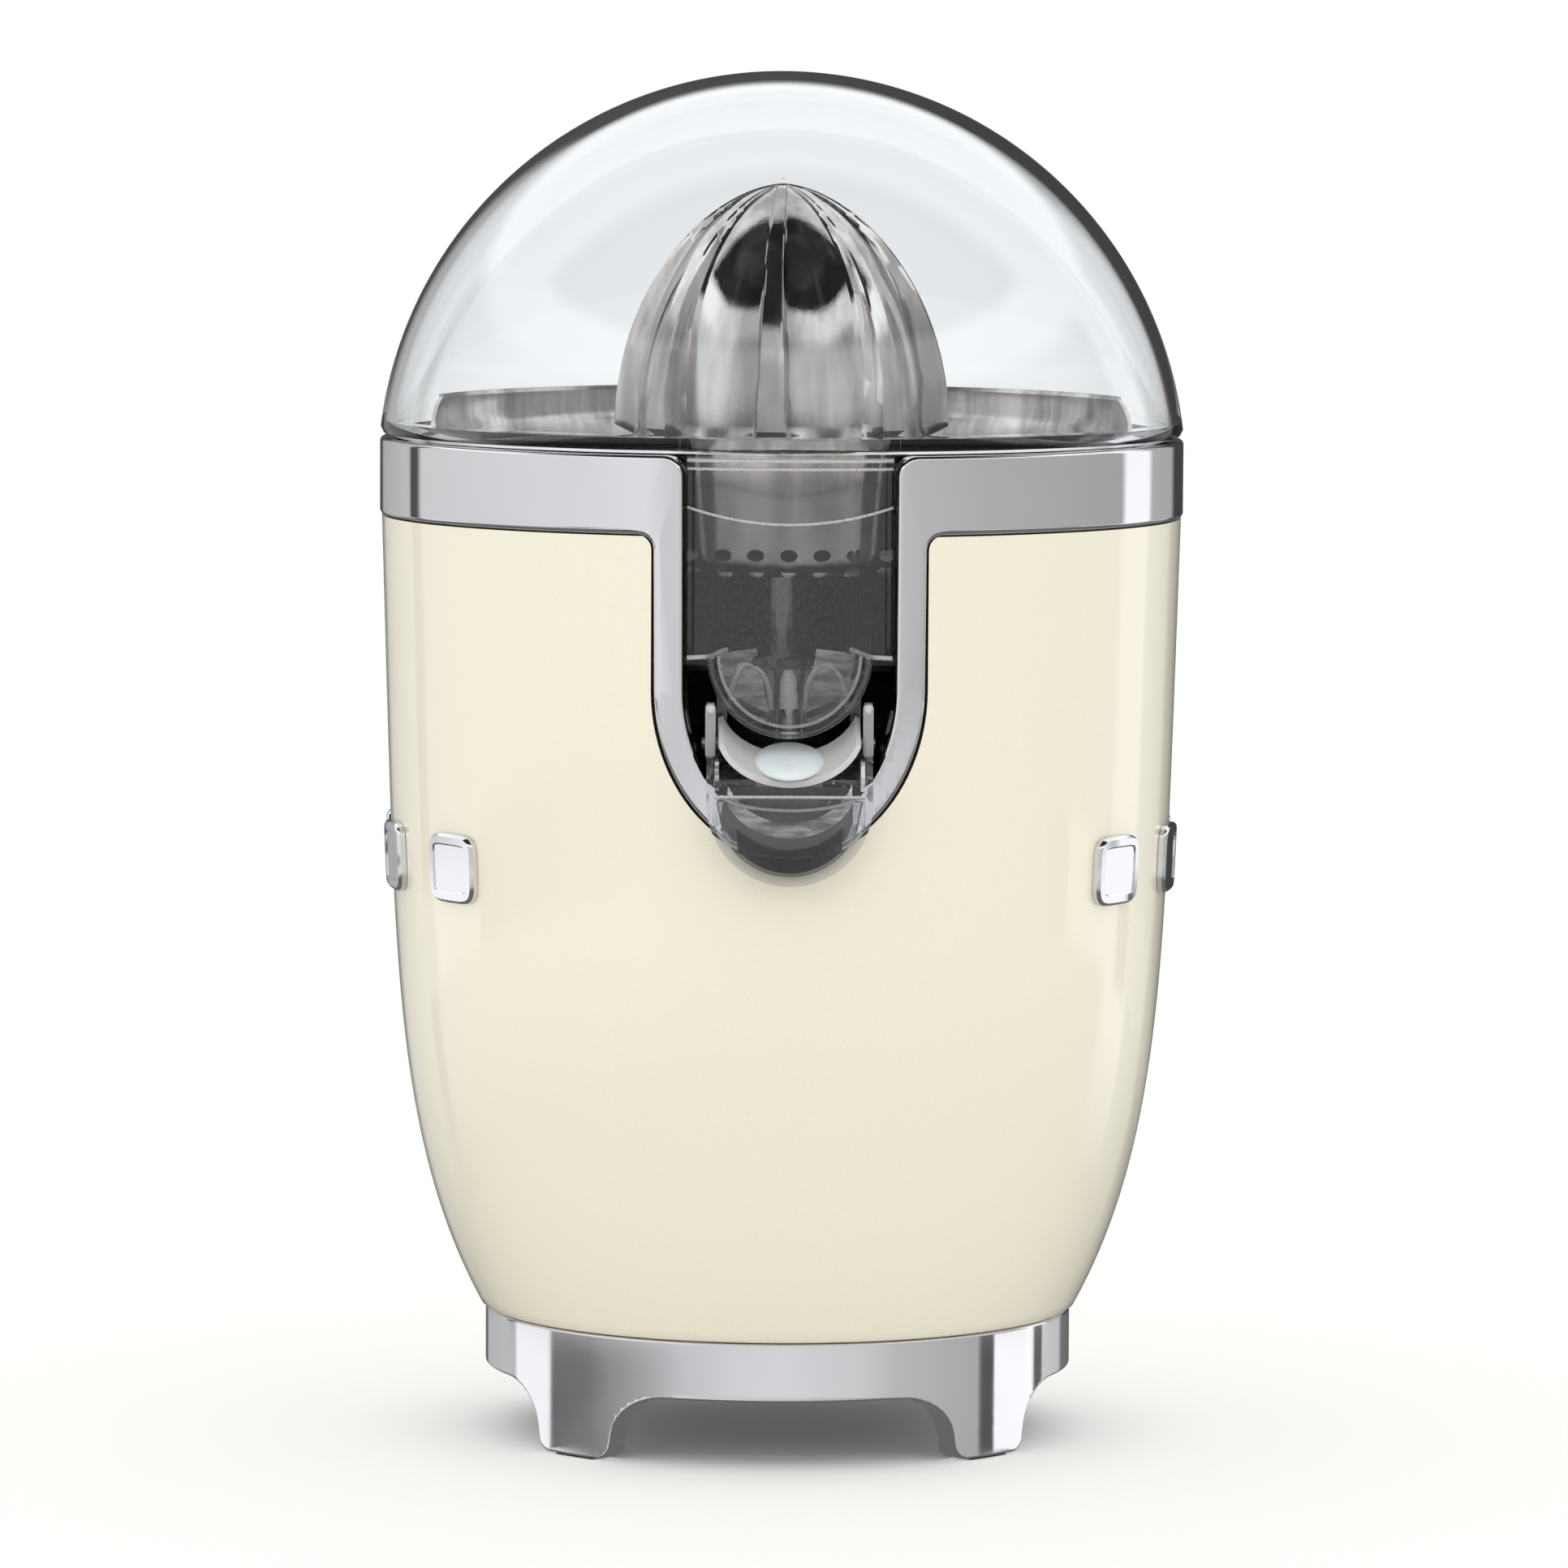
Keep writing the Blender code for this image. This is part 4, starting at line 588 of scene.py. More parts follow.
# ---- well, bowl, spout ---------------------------------------------------------------------
def well():
    """The dark well behind the bowl, open at the front, and the ribbed column round the shaft."""
    low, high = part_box("well_liner")
    radius, floor = high.x, 0.1395
    column, column_top = 0.0107, 0.1895
    outline = [
        (0.0075, low.z), (radius, low.z), (radius, high.z), (radius - 0.002, high.z),
        (radius - 0.002, floor + 0.004), *arc((radius - 0.006, floor + 0.004), (0.004, 0.004), 0, -90, 6),
        (column + 0.003, floor), *arc((column + 0.003, floor + 0.003), (0.003, 0.003), 270, 180, 5),
        (column, column_top - 0.001), (column - 0.001, column_top), (0.0075, column_top),
    ]
    liner = turned("well_liner_smooth", outline, "liner", MIDDLING)
    cutter = opening(0.0003, BAND_TOP + 0.01)
    cutter = [(x, max(z, floor)) for x, z in cutter]
    cutter = [p for i, p in enumerate(cutter) if i == 0 or p != cutter[i - 1]]
    boolean(liner, "DIFFERENCE", prism("liner_cut", cutter, "Y", -0.1, -0.055))
    piece(liner, "housing", "liner_plastic", "well_liner")
    bm = bmesh.new()
    place = Matrix.Translation((0, -column - 0.00012, (floor + column_top) / 2))
    rib = place @ Matrix.Diagonal((0.0008, 0.0011, column_top - floor - 0.006, 1))
    ribs = 40
    for i in range(ribs):
        bmesh.ops.create_cube(bm, size=1, matrix=Matrix.Rotation(math.tau * i / ribs, 4, "Z") @ rib)
    piece(finish(bm, "column_ribs", "liner"), "housing", "liner_plastic")


def nose_plan(inset):
    """The bowl's nose seen from above, which fills the opening."""
    half = 0.0205 - inset
    radius = 0.0798 - inset
    reach = math.asin(half / radius)
    angles = [reach * (2 * i / 16 - 1) for i in range(17)]
    front = [(radius * math.sin(a), -radius * math.cos(a)) for a in angles]
    return [(-half, -0.062), *front, (half, -0.062)]


def trough_front(inset):
    """The half-round trough under the nose, seen from the front."""
    radius = TROUGH_RADIUS - inset
    ends = TROUGH_LEVEL + 0.004
    half_round = arc((0, TROUGH_LEVEL), (radius, radius), 180, 360, 40)
    return [(-radius, ends), *half_round, (radius, ends)]


def bowl():
    """The clear bowl: a turned shell with a nose and a trough, then hollowed the same way."""
    floor, top = BOWL_FLOOR, BOWL_TOP
    flange = top - 0.0022
    outer = [
        (0.0126, floor), (0.070, floor), *arc((0.070, floor + 0.004), (0.004, 0.004), 270, 360, 6),
        (0.074, flange), (0.0775, flange), (0.078, flange + 0.0006), (0.078, top - 0.0006),
        (0.0775, top), (0.0126, top),
    ]
    made = turned("juice_bowl_smooth", outer, "bowl", MIDDLING)
    nose_floor, wall = 0.1636, 0.0018
    boolean(made, "UNION", prism("nose_out", nose_plan(0), "Z", nose_floor, top))
    boolean(made, "UNION", prism("trough_out", trough_front(0), "Y", -0.0788, -0.040))
    y, z = SPOUT_PIVOT
    for side in (-1, 1):
        x = sorted((side * 0.0143, side * 0.0122))
        low, high = (x[0], y - 0.0025, z - 0.0022), (x[1], y + 0.0025, 0.1624)
        boolean(made, "UNION", box("ear", low, high))
    hollow = [
        (0, 0.192), (0.0144, 0.192), (0.0144, floor + 0.0022), (0.069, floor + 0.0022),
        *arc((0.069, floor + 0.005), (0.0028, 0.0028), 270, 360, 5), (0.0718, top + 0.005), (0, top + 0.005),
    ]
    boolean(made, "DIFFERENCE", turned("hollow", hollow, None, MIDDLING))
    boolean(made, "DIFFERENCE", prism("nose_in", nose_plan(wall), "Z", nose_floor + wall, top + 0.005))
    boolean(made, "DIFFERENCE", prism("trough_in", trough_front(wall), "Y", -0.0770, -0.0418))
    outlet = [(0, 0.140), (0.0034, 0.140), (0.0034, 0.155), (0, 0.155)]
    boolean(made, "DIFFERENCE", turned("outlet", outlet, None, 32, (0, -0.0746)))
    piece(made, "bowl", "bowl_plastic", "juice_bowl")


def bead(name, points, radius, look, body):
    """A thin line along a row of points, in the look it is given; the pale line look paints a highlight."""
    curve = bpy.data.curves.new(name, "CURVE")
    curve.dimensions = "3D"
    curve.bevel_depth = radius
    curve.bevel_resolution = 3
    curve.use_fill_caps = True
    line = curve.splines.new("POLY")
    line.points.add(len(points) - 1)
    for point, place in zip(line.points, points):
        point.co = (*place, 1)
    obj = bpy.data.objects.new(name, curve)
    bpy.context.scene.collection.objects.link(obj)
    curve.materials.append(LOOKS[look])
    return piece(obj, body, f"{body}_plastic")


def bowl_lines():
    """Moulded details of the bowl: the sagging line on the nose, the trough's lip, and what stands in it.
    The pale look of the nose and flange lines, the inner trough line, the arches, the shelves and the post
    is a painted highlight, and the fans carry painted highlight streaks.
    """
    half, front = 0.0203, 0.0799
    sag = []
    for i in range(41):
        x = half * (2 * i / 40 - 1)
        sag.append((x, -math.sqrt(front**2 - x**2), 0.1915 + 0.0033 * (x / half) ** 2))
    bead("nose_line", sag, 0.00028, "painted_highlight", "bowl")
    for i, level in enumerate((0.2041, 0.2024)):
        rim = [(x, y, level) for x, y, _ in sag]
        bead(f"flange_line_{i + 1}", rim, 0.00045 - 0.00015 * i, "painted_highlight", "bowl")
    lip = [(x, -0.0790, z) for x, z in trough_front(0.0006)[1:-1]]
    bead("trough_bead", lip, 0.0007, "bowl", "bowl")
    inner_lip = [(x, -0.0772, z) for x, z in trough_front(0.0022)[1:-1]]
    bead("trough_inner_line", inner_lip, 0.00035, "painted_highlight", "bowl")
    half_arch = arc((0, 0), (0.0042, 0.0090), 0, 180, 20)
    half_shelf = [(0.0202, -0.0770, 0.1650), (0.0160, -0.0780, 0.1653), (0.0125, -0.0700, 0.1662)]
    half_fan = [(0.0035, 0.1520), (0.0120, 0.1560), (0.0138, 0.1640), (0.0060, 0.1650)]
    for side in (-1, 1):
        arch = [(side * 0.0075 + x, -0.060, 0.1535 + z) for x, z in half_arch]
        bead(f"trough_arch_{side + 2}", arch, 0.0006, "painted_highlight", "bowl")
        shelf = [(side * x, y, z) for x, y, z in half_shelf]
        bead(f"trough_shelf_{side + 2}", shelf, 0.0005, "painted_highlight", "bowl")
        fan = [(side * x, z) for x, z in half_fan]
        piece(prism(f"trough_fan_{side + 2}", fan, "Y", -0.0500, -0.0490, "painted_highlight_streaks"), "bowl", "bowl_plastic")
    post = [(0, 0.1508), (0.0020, 0.1508), (0.0016, 0.1600), (0.0009, 0.1618), (0, 0.1622)]
    piece(turned("trough_post", post, "painted_highlight", 40, (0, -0.0660)), "bowl", "bowl_plastic")


def spout():
    """The clear drip-stop spout: two cheeks, a sloping floor, a front pane and a round lower end."""
    y, z = SPOUT_PIVOT
    half, wall = 0.0164, 0.0016
    inner = half - wall
    low, front, back = 0.1205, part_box("spout")[0].y, -0.082
    cheek = [
        (y + 0.0022, z + 0.0021), (-0.0750, z + 0.0035),
        *arc((-0.0780, z + 0.0068), (0.0020, 0.0020), 0, 180, 6),
        (front + 0.0006, 0.1386), (front, 0.1374), (front, low - 0.001), (back, low - 0.001), (back, 0.1412),
        (-0.0732, z - 0.0021), (y + 0.0022, z - 0.0021),
    ]
    slope = [
        (-0.0732, 0.1463), (-0.0826, 0.1414), (-0.0834, 0.1390), (-0.0834, low - 0.001), (back, low - 0.001),
        (back, 0.1398), (-0.0732, 0.1446),
    ]
    reach = inner + 0.0005
    made = prism("spout_smooth", cheek, "X", -half, -inner, "spout")
    boolean(made, "UNION", prism("slope", slope, "X", -reach, reach))
    boolean(made, "UNION", prism("cheek", cheek, "X", inner, half))
    boolean(made, "UNION", box("front", (-reach, front, low - 0.001), (reach, front + 0.0012, 0.1380)))
    outline = [(-half, 0.160), *arc((0, low + half), (half, half), 180, 360, 40), (half, 0.160)]
    boolean(made, "INTERSECT", prism("outline", outline, "Y", -0.1, -0.05))
    round_tip = arc((0, low + half), (half, half), 200, 340, 40)
    inner_tip = arc((0, low + half + 0.0008), (half - 0.0018, half - 0.0026), 340, 200, 40)
    boolean(made, "UNION", prism("tip_wall", round_tip + inner_tip, "Y", front + 0.0002, -0.0826))
    soften(made, 0.0004)
    piece(made, "spout", "spout_plastic", "spout")
    spout_cradle(inner)
    spout_lens(half, low, front)
    low_seal, high_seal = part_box("spout_seal")
    middle = (low_seal + high_seal) / 2
    tilt = math.atan2(0.0049, 0.0094)
    dome = [
        (0, 0), (0.0064, 0), (0.0068, 0.0004), (0.0068, 0.0008), (0.0060, 0.0013), (0.0030, 0.00155),
        (0, 0.0016),
    ]
    pad = turned("spout_seal_smooth", dome, "silicone", 48)
    pad.data.transform(Matrix.Translation((0, middle.y, middle.z - 0.0006)) @ Matrix.Rotation(tilt, 4, "X"))
    piece(pad, "spout", "silicone", "spout_seal")


def spout_cradle(inner):
    """The frosted tray round the pad, which slopes down to the front, and the frosted posts at its ends."""
    back, front, drop = -0.0742, -0.0832, 0.0050
    outer = arc((0, 0.1560), (inner - 0.0002, 0.0112), 196, 344, 48)
    inside = arc((0, 0.1562), (inner - 0.0012, 0.0102), 344, 196, 48)
    tray = prism("spout_tray", outer + inside, "Y", front, back, "frosted")
    for vert in tray.data.vertices:
        vert.co.z -= drop * (back - vert.co.y) / (back - front)
    piece(tray, "spout", "spout_plastic")
    for side in (-1, 1):
        middle = side * (inner + 0.0008)
        low, high = (middle - 0.0010, -0.0800, 0.1452), (middle + 0.0010, -0.0758, 0.1560)
        post = soften(box(f"spout_post_{side + 2}", low, high, "frosted"), 0.0008)
        piece(post, "spout", "spout_plastic")
        # The side strips carry painted highlight streaks.
        middle = side * (inner - 0.0004)
        low, high = (middle - 0.0004, -0.0846, 0.1392), (middle + 0.0004, -0.0762, 0.1450)
        piece(box(f"spout_side_{side + 2}", low, high, "painted_highlight_streaks"), "spout", "spout_plastic")
    # The break line and the two curved lines are pale painted highlights.
    line_radius = 0.00035
    bead("spout_break", [(-inner, -0.0856, 0.1381), (inner, -0.0856, 0.1381)], line_radius, "painted_highlight", "spout")
    lines = ((0.1355, inner - 0.0010, 0.0035), (0.1262, inner - 0.0004, 0.0062))
    for i, (low, reach, depth) in enumerate(lines):
        line = [(x, -0.0852, z) for x, z in arc((0, low + depth), (reach, depth), 190, 350, 40)]
        bead(f"spout_line_{i + 1}", line, line_radius, "painted_highlight", "spout")


def spout_lens(half, low, front):
    """The thick lower end of the spout: a block behind the front pane whose grey tint is painted shade, a
    pale strip as a painted highlight, and a dark crescent as painted shade along its edge.
    """
    wide = half - 0.0019
    bottom = arc((0, low + half), (wide, wide), 205, 335, 40)
    top = 0.1372
    hollow = arc((0, top), (wide * 0.55, 0.0022), 180, 360, 24)
    outline = [(-wide, top), *hollow, (wide, top), *reversed(bottom)]
    # Painted shade: the block's grey tint dims what shows through the lower end.
    block = soften(prism("spout_lens", outline, "Y", front + 0.0014, -0.0826, "lens"), 0.0009)
    piece(block, "spout", "spout_plastic")
    # Painted highlight: a pale curved strip just behind the front pane.
    painted_glow = arc((0, low + half + 0.0035), (half - 0.0032, half - 0.0060), 200, 340, 40)
    painted_glow += arc((0, low + half + 0.0075), (half - 0.0034, half - 0.0050), 340, 200, 40)
    piece(prism("spout_painted_highlight", painted_glow, "Y", front + 0.00125, front + 0.0016, "painted_highlight_streaks"), "spout", "spout_plastic")
    # Painted shade: a dark crescent along the round lower edge.
    painted_dark_crescent = arc((0, low + half), (half - 0.0026, half - 0.0026), 222, 318, 32)
    painted_dark_crescent += arc((0, low + half + 0.0040), (half - 0.0024, half - 0.0030), 318, 222, 32)
    edge = prism("spout_painted_shade_crescent", painted_dark_crescent, "Y", front + 0.0004, front + 0.0010, "dark_painted_shade")
    piece(edge, "spout", "spout_plastic")


# ---- strainer, reamer, lid -----------------------------------------------------------------
def strainer():
    """The perforated steel strainer, whose rim is cut lower round the front half."""
    wall = 0.0008
    shelf = BOWL_TOP + 0.0003
    collar = 0.0156
    low = STRAINER_FLOOR
    rim_low = BAND_TOP + 0.0012
    under = [
        (collar, low + 0.004), *arc((collar + 0.003, low + 0.0045), (0.003, 0.0030), 190, 268, 4),
        (0.0600, low), *arc((0.0610, low + 0.0062), (0.0062, 0.0062), 278, 350, 7),
        (0.0698, shelf - 0.0022), (0.0704, shelf), (0.0736, shelf), (0.0738, shelf + 0.0004),
        (0.0736, shelf + wall), (0.0722, shelf + 0.0016), (0.0720, shelf + 0.0030),
        (0.0720, STRAINER_TOP - 0.0006), (0.0726, STRAINER_TOP - 0.0002), (0.0726, STRAINER_TOP),
    ]
    over = [
        (0.0718, STRAINER_TOP), (0.0712, STRAINER_TOP - 0.0008), (0.0712, shelf + 0.0028),
        (0.0704, shelf + 0.0010), (0.0690, shelf - 0.0020),
        *arc((0.0609, low + 0.0063), (0.0054, 0.0054), 350, 278, 7), (0.0600, low + wall),
        (collar + 0.0035, low + wall + 0.0014), (collar + wall, low + 0.0044),
        (collar + wall, 0.1945), (collar + wall / 2, 0.195), (collar, 0.1945),
    ]
    made = turned("strainer_smooth", under + over, "strainer", FINE)
    rows = ((64, low + 0.0046, 0.0014), (64, low + 0.0011, 0.0012))
    holes = bmesh.new()
    for count, level, radius in rows:
        for i in range(count):
            turn = Matrix.Rotation(math.tau * i / count, 4, "Z")
            lie = Matrix.Translation((0, -0.0665, level)) @ Matrix.Rotation(math.pi / 2, 4, "X")
            stretch = Matrix.Diagonal((1.25, 0.9, 1, 1))
            bmesh.ops.create_cone(
                holes, cap_ends=True, segments=14, radius1=radius, radius2=radius, depth=0.010,
                matrix=turn @ lie @ stretch,
            )
    for ring, count in ((0.054, 54), (0.047, 46), (0.040, 40), (0.033, 32), (0.026, 26)):
        for i in range(count):
            angle = math.tau * i / count
            place = Matrix.Translation((ring * math.cos(angle), ring * math.sin(angle), low + 0.001))
            bmesh.ops.create_cone(
                holes, cap_ends=True, segments=10, radius1=0.0012, radius2=0.0012, depth=0.006, matrix=place
            )
    boolean(made, "DIFFERENCE", finish(holes, "holes"))
    steps = [i / 24 for i in range(25)]
    full = STRAINER_TOP - rim_low + 0.0002
    rise = [(-0.0125 + 0.031 * t, rim_low + full * t * t * (3 - 2 * t)) for t in steps]
    over = STRAINER_TOP + 0.001
    cutter = [(-0.1, rim_low), *rise, (rise[-1][0], over), (-0.1, over)]
    boolean(made, "DIFFERENCE", prism("rim_cut", cutter, "X", -0.1, 0.1))
    piece(made, "strainer", "strainer_steel", "strainer")


def reamer_outer(z, angle):
    """Radius of the reamer's outside: lobes under a round envelope, which only the ribs reach."""
    span = REAMER_TOP - REAMER_RIB_BASE
    h = min(1.0, max(0.0, (z - REAMER_RIB_BASE) / span))
    envelope = REAMER_RIB_RADIUS * max(0.0, 1 - h * h) ** 0.58
    height = min(0.0042 + (0.0014 - 0.0042) * h, envelope * 0.24)
    lobe = envelope - height
    width = (0.0031 - 0.0021 * h) / max(envelope, 0.0015)
    period = math.tau / REAMER_RIBS
    around = abs((angle - REAMER_TURN + period / 2) % period - period / 2)
    rib = min(1.0, max(0.0, (1.40 - around / width) / 0.42))
    fade = min(1.0, max(0.0, (z - REAMER_RIB_BASE + 0.0006) / 0.0009))
    crown = 0.0009 * math.cos(math.pi * (around / (period / 2))) * (1 - h)
    return lobe + (envelope - lobe) * rib * math.sqrt(fade) - (0.0007 + crown) * (1 - rib) * fade * (1 - h)


def reamer():
    count = 480
    span = REAMER_TOP - REAMER_RIB_BASE
    levels = [REAMER_BOTTOM, REAMER_BOTTOM + 0.0004, REAMER_BOTTOM + 0.004]
    levels += [REAMER_RIB_BASE - 0.0012 + 0.0009 * i for i in range(5)]
    start = REAMER_RIB_BASE + 0.003
    levels += [start + (span - 0.003) * math.sin(math.pi / 2 * i / 60) for i in range(1, 60)]
    bm = bmesh.new()

    def ring(z, radius_at):
        made = []
        for i in range(count):
            angle = math.tau * i / count
            r = radius_at(z, angle)
            made.append(bm.verts.new((r * math.sin(angle), -r * math.cos(angle), z)))
        return made

    def bridge(rings):
        for low, high in zip(rings, rings[1:]):
            for i in range(count):
                bm.faces.new((low[i], low[i - 1], high[i - 1], high[i]))

    def inner_radius(z, angle):
        h = max(0, (z - REAMER_BOTTOM) / 0.052)
        return 0.0285 * max(0.0, 1 - h**2) ** 0.58

    outside = [ring(z, reamer_outer) for z in levels]
    inside = [ring(z, inner_radius) for z in (REAMER_BOTTOM, 0.206, 0.216, 0.228, 0.238, 0.245)]
    bridge(outside)
    bridge(inside)
    outside.append(ring(REAMER_TOP + 0.0001, lambda z, a: 0.0011))
    outside.append(ring(REAMER_TOP + 0.0009, lambda z, a: 0.0004))
    tip = bm.verts.new((0, 0, REAMER_TOP + 0.0012))
    roof = bm.verts.new((0, 0, 0.2495))
    for i in range(count):
        bm.faces.new((outside[-1][i], outside[-1][i - 1], tip))
        bm.faces.new((inside[-1][i], inside[-1][i - 1], roof))
        bm.faces.new((outside[0][i], outside[0][i - 1], inside[0][i - 1], inside[0][i]))
    piece(finish(bm, "reamer_smooth", "reamer", 50), "reamer", "reamer_steel", "reamer_cone")


def lid():
    """The clear dome, whose wide foot stands on the band."""
    radius, wall = 0.083, 0.0024
    centre = HEIGHT - radius
    low = BAND_TOP + 0.0003
    start = math.degrees(math.asin((low + 0.0018 - centre) / radius))
    outer = arc((0, centre), (radius, radius), 90, start, 60)
    outer = [(0, HEIGHT), *[(min(r, BAND_RADIUS), z) for r, z in outer[1:]]]
    bottom = [(0.0818, low + 0.0006), (0.0805, low), (0.0784, low), (0.0781, low + 0.0004)]
    start = math.degrees(math.asin((low + 0.003 - centre) / (radius - wall)))
    inner = arc((0, centre), (radius - wall, radius - wall), start, 90, 60)
    inner[-1] = (0, HEIGHT - wall)
    piece(turned("lid_smooth", outer + bottom + inner, "lid", FINE), "lid", "lid_plastic", "lid")


# ---- CAD pieces that stay ------------------------------------------------------------------
def dress_cad():
    """Gives every CAD node that is still shown its own procedural look."""
    by_slot = {
        "cream_paint": "cream", "chrome": "chrome", "strainer_steel": "strainer", "reamer_steel": "reamer",
        "screw_steel": "steel", "lever_steel": "steel", "motor_steel": "steel", "bush_bronze": "bronze",
        "pinion_brass": "brass", "bowl_plastic": "bowl", "lid_plastic": "lid", "spout_plastic": "spout",
        "liner_plastic": "liner", "base_plastic": "black", "motor_plastic": "black",
        "gearbox_plastic": "white", "hub_plastic": "white", "nylon": "white", "silicone": "silicone",
        "rubber": "rubber",
    }
    slots = {part["node"]: part["material_slot"] for part in frame["record"]["subparts"]}
    for name, obj in CAD.items():
        obj.data.materials.clear()
        obj.data.materials.append(LOOKS[by_slot[slots[name]]])


# ---- studio --------------------------------------------------------------------------------
# Brightness round the horizon: degrees (0 towards the camera, + to the right) and level out of 3.
HIGH_STRIPS = [
    (-180, 0.08), (-167, 0.08), (-163, 0.42), (-137, 0.60), (-135, 0.58), (-134, 0.08), (-129, 0.10),
    (-127, 0.72), (-90, 0.80), (-40, 0.92), (-32, 0.74), (0, 0.70), (35, 0.58), (60, 0.50), (113, 0.44),
    (115, 1.20), (129, 1.20), (131, 0.50), (148, 0.45), (152, 0.06), (168, 0.06), (180, 0.08),
]
LOW_STRIPS = [
    (-180, 0.10), (-166, 0.16), (-163, 0.50), (-137, 0.62), (-128, 0.60), (-126, 1.15), (-103, 1.15),
    (-101, 0.17), (-80, 0.20), (-58, 0.42), (-38, 0.68), (-20, 0.80), (0, 0.84), (30, 0.74), (46, 0.58),
    (70, 0.52), (85, 0.48), (86, 0.10), (93, 0.10), (94, 1.20), (119, 1.20), (121, 0.12), (127, 0.12),
    (128, 0.70), (146, 0.60), (150, 0.2), (180, 0.10),
]
FULL_LEVEL = 3.0

EYE_DISTANCE = 1.872
EYE_AZIMUTH = math.radians(-1.3)
EYE_HEIGHT = 0.2948
EYE_ROLL = math.radians(0.29)
LOOK_AT = Vector((0.0008, 0, 0.1334))
LENS = 209.2


class WorldNodes:
    """Short calls for the nodes of the studio's world."""

    def __init__(self, tree):
        self.nodes, self.links = tree.nodes, tree.links

    def math(self, kind, a, b=None):
        node = self.nodes.new("ShaderNodeMath")
        node.operation = kind
        for socket, value in zip(node.inputs, (a, b)):
            if isinstance(value, (int, float)):
                socket.default_value = value
            elif value is not None:
                self.links.new(value, socket)
        return node.outputs[0]

    def step(self, value, low, high):
        node = self.nodes.new("ShaderNodeMapRange")
        self.links.new(value, node.inputs["Value"])
        node.inputs["From Min"].default_value = low
        node.inputs["From Max"].default_value = high
        return node.outputs["Result"]

    def ramp(self, around, stops):
        node = self.nodes.new("ShaderNodeValToRGB")
        self.links.new(around, node.inputs["Fac"])
        ring = node.color_ramp
        ring.elements.remove(ring.elements[-1])
        for i, (degrees, level) in enumerate(stops):
            place = degrees / 360 + 0.5
            element = ring.elements[0] if i == 0 else ring.elements.new(place)
            element.position = place
            grey = level / FULL_LEVEL
            element.color = (grey, grey, grey * 1.012, 1)
        return node.outputs["Color"]

    def mix(self, amount, first, second):
        node = self.nodes.new("ShaderNodeMixRGB")
        self.links.new(amount, node.inputs["Fac"])
        for name, value in (("Color1", first), ("Color2", second)):
            if isinstance(value, (int, float)):
                grey = value / FULL_LEVEL
                node.inputs[name].default_value = (grey, grey, grey, 1)
            else:
                self.links.new(value, node.inputs[name])
        return node.outputs["Color"]


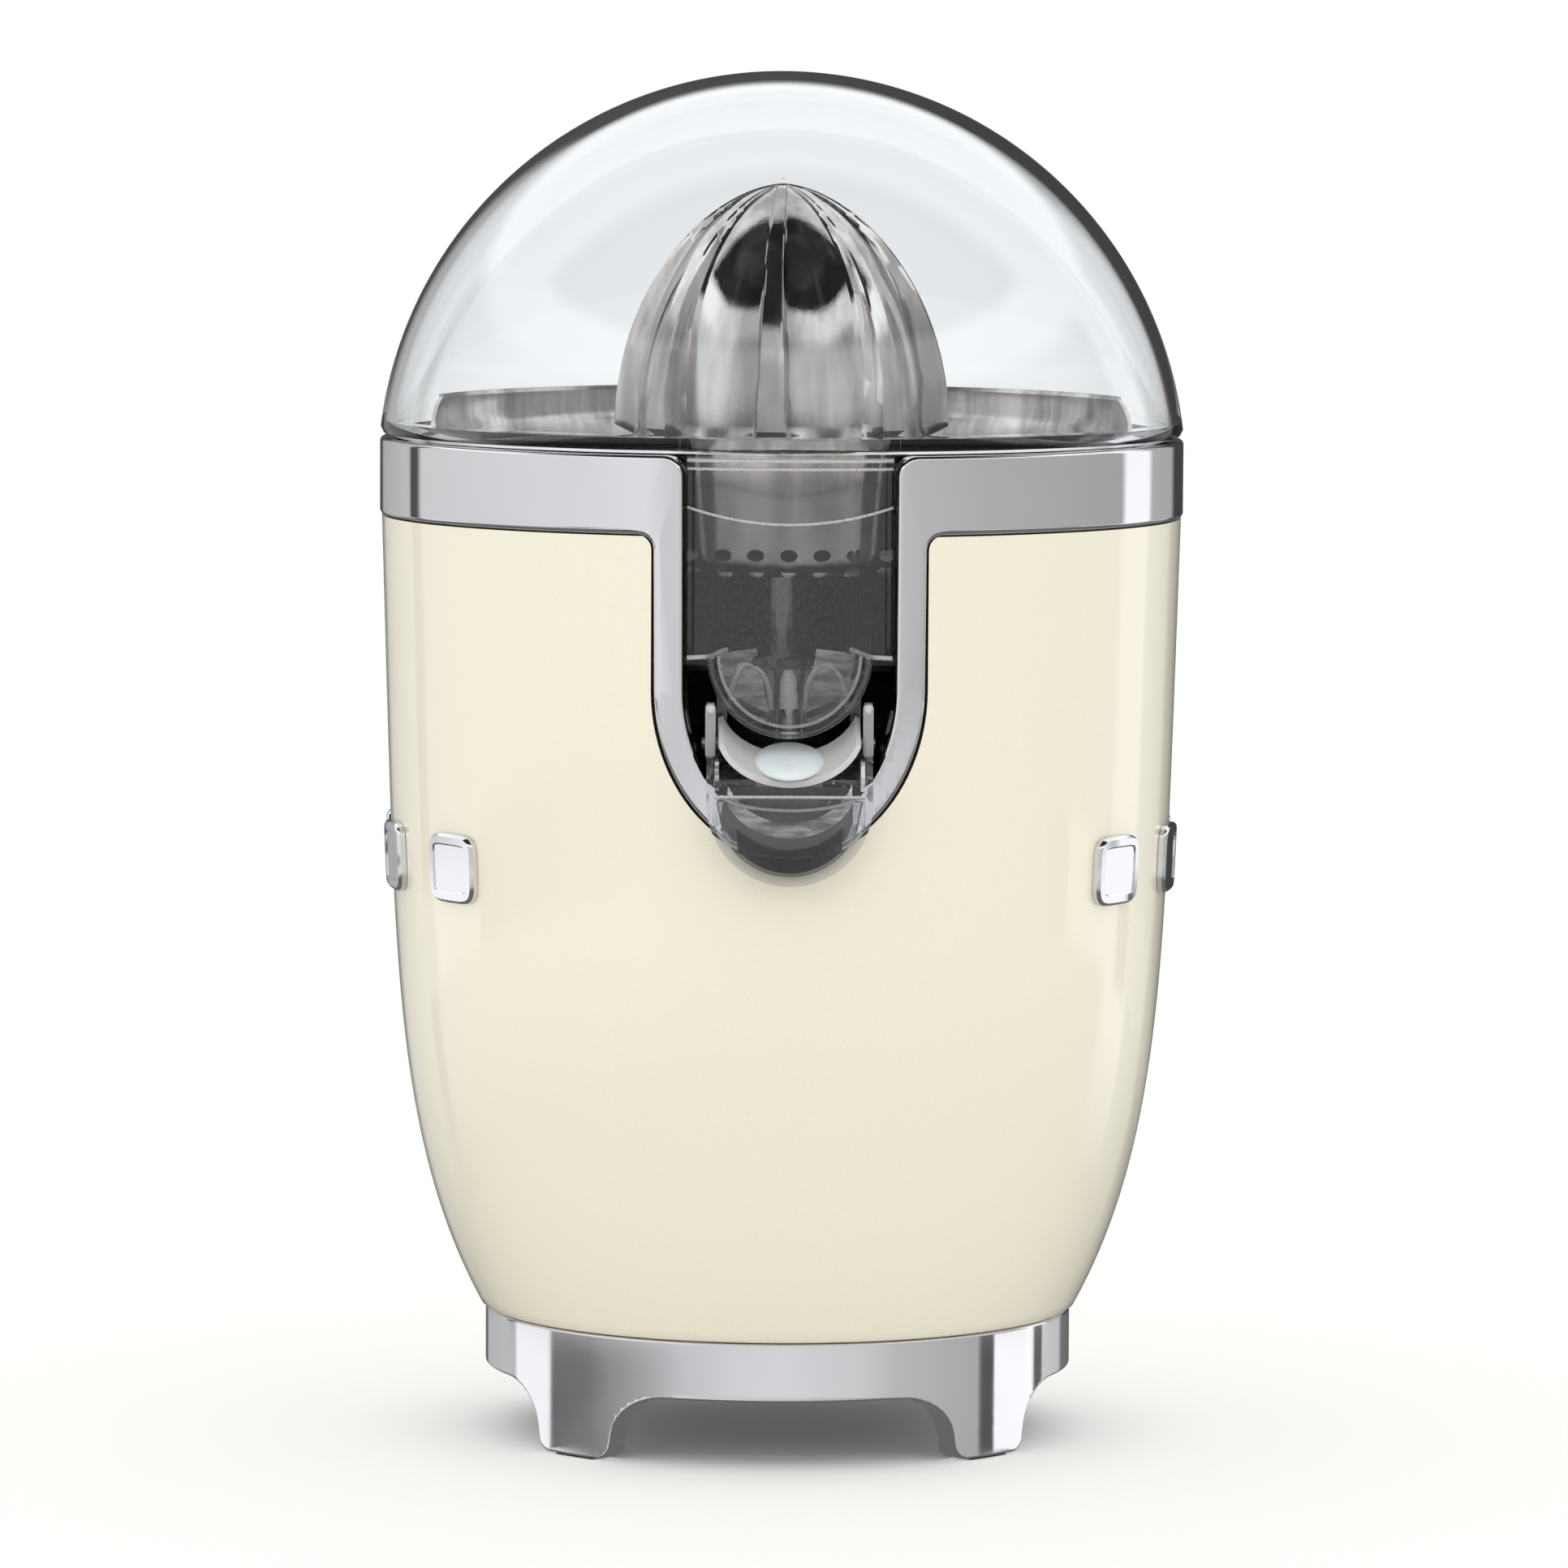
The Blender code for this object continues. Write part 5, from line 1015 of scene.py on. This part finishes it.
def world():
    """A white studio: shiny pieces see cards and flags, matt ones an even dome, the camera plain white."""
    made = bpy.data.worlds.new("studio")
    bpy.context.scene.world = made
    made.use_nodes = True
    make = WorldNodes(made.node_tree)
    make.nodes.clear()
    split = make.nodes.new("ShaderNodeSeparateXYZ")
    make.links.new(make.nodes.new("ShaderNodeTexCoord").outputs["Generated"], split.inputs[0])
    up = split.outputs["Z"]
    azimuth = make.math("ARCTAN2", split.outputs["X"], make.math("MULTIPLY", split.outputs["Y"], -1))
    around = make.math("ADD", make.math("DIVIDE", azimuth, math.tau), 0.5)
    window = make.math("MULTIPLY", make.step(up, -0.130, -0.141), make.step(up, -0.185, -0.170))
    cards = make.mix(window, make.ramp(around, HIGH_STRIPS), make.ramp(around, LOW_STRIPS))
    under = make.mix(make.step(up, -0.20, -0.34), cards, 0.16)
    bright = make.mix(make.step(up, 0.40, 0.47), under, 1.25)
    dark = make.mix(make.step(up, 0.60, 0.65), bright, 0.03)
    behind = make.step(split.outputs["Y"], 0.10, 0.22)
    top = make.mix(make.math("MULTIPLY", make.step(up, 0.5, 0.6), behind), dark, 1.1)
    studio = make.nodes.new("ShaderNodeBackground")
    make.links.new(top, studio.inputs["Color"])
    studio.inputs["Strength"].default_value = FULL_LEVEL
    even = make.nodes.new("ShaderNodeBackground")
    even.inputs["Color"].default_value = (1.0, 0.995, 0.985, 1)
    even.inputs["Strength"].default_value = 1.14
    white = make.nodes.new("ShaderNodeBackground")
    white.inputs["Color"].default_value = (1, 1, 1, 1)
    path = make.nodes.new("ShaderNodeLightPath")
    shiny = make.math("GREATER_THAN", path.outputs["Glossy Depth"], 0.5)
    direct = make.math("LESS_THAN", path.outputs["Diffuse Depth"], 0.5)
    through = make.math("MULTIPLY", path.outputs["Is Transmission Ray"], make.math("SUBTRACT", 1, shiny))
    seen = make.math("MAXIMUM", path.outputs["Is Camera Ray"], make.math("MULTIPLY", through, direct))
    mirrored = make.nodes.new("ShaderNodeMixShader")
    make.links.new(make.math("MULTIPLY", shiny, direct), mirrored.inputs["Fac"])
    make.links.new(even.outputs[0], mirrored.inputs[1])
    make.links.new(studio.outputs[0], mirrored.inputs[2])
    both = make.nodes.new("ShaderNodeMixShader")
    make.links.new(seen, both.inputs["Fac"])
    make.links.new(mirrored.outputs[0], both.inputs[1])
    make.links.new(white.outputs[0], both.inputs[2])
    out = make.nodes.new("ShaderNodeOutputWorld")
    make.links.new(both.outputs[0], out.inputs["Surface"])


def floor():
    bm = bmesh.new()
    bmesh.ops.create_circle(bm, cap_ends=True, segments=96, radius=12)
    ground = finish(bm, "studio_floor")
    look = Look("floor_white", (0.9, 0.9, 0.9), 0.9, Emission_Strength=0.02)
    look.set("Emission Color", (1, 1, 1, 1))
    look.set("Specular IOR Level", 0.1)
    ground.data.materials.append(look.made)
    ground.visible_glossy = False


def camera():
    data = bpy.data.cameras.new("camera")
    data.sensor_width = 36.0
    data.lens = LENS
    data.clip_end = 50
    eye = bpy.data.objects.new("camera", data)
    bpy.context.scene.collection.objects.link(eye)
    across, back = math.sin(EYE_AZIMUTH), -math.cos(EYE_AZIMUTH)
    place = Vector((EYE_DISTANCE * across, EYE_DISTANCE * back, EYE_HEIGHT))
    turn = (LOOK_AT - place).to_track_quat("-Z", "Y")
    eye.location = place
    eye.rotation_mode = "QUATERNION"
    eye.rotation_quaternion = turn @ Quaternion((0, 0, 1), EYE_ROLL)
    bpy.context.scene.camera = eye


def main():
    dress_cad()
    body_shell()
    trim()
    base()
    studs()
    well()
    bowl()
    bowl_lines()
    spout()
    strainer()
    reamer()
    lid()
    world()
    floor()
    camera()
    bpy.context.scene.view_settings.view_transform = "Standard"


main()
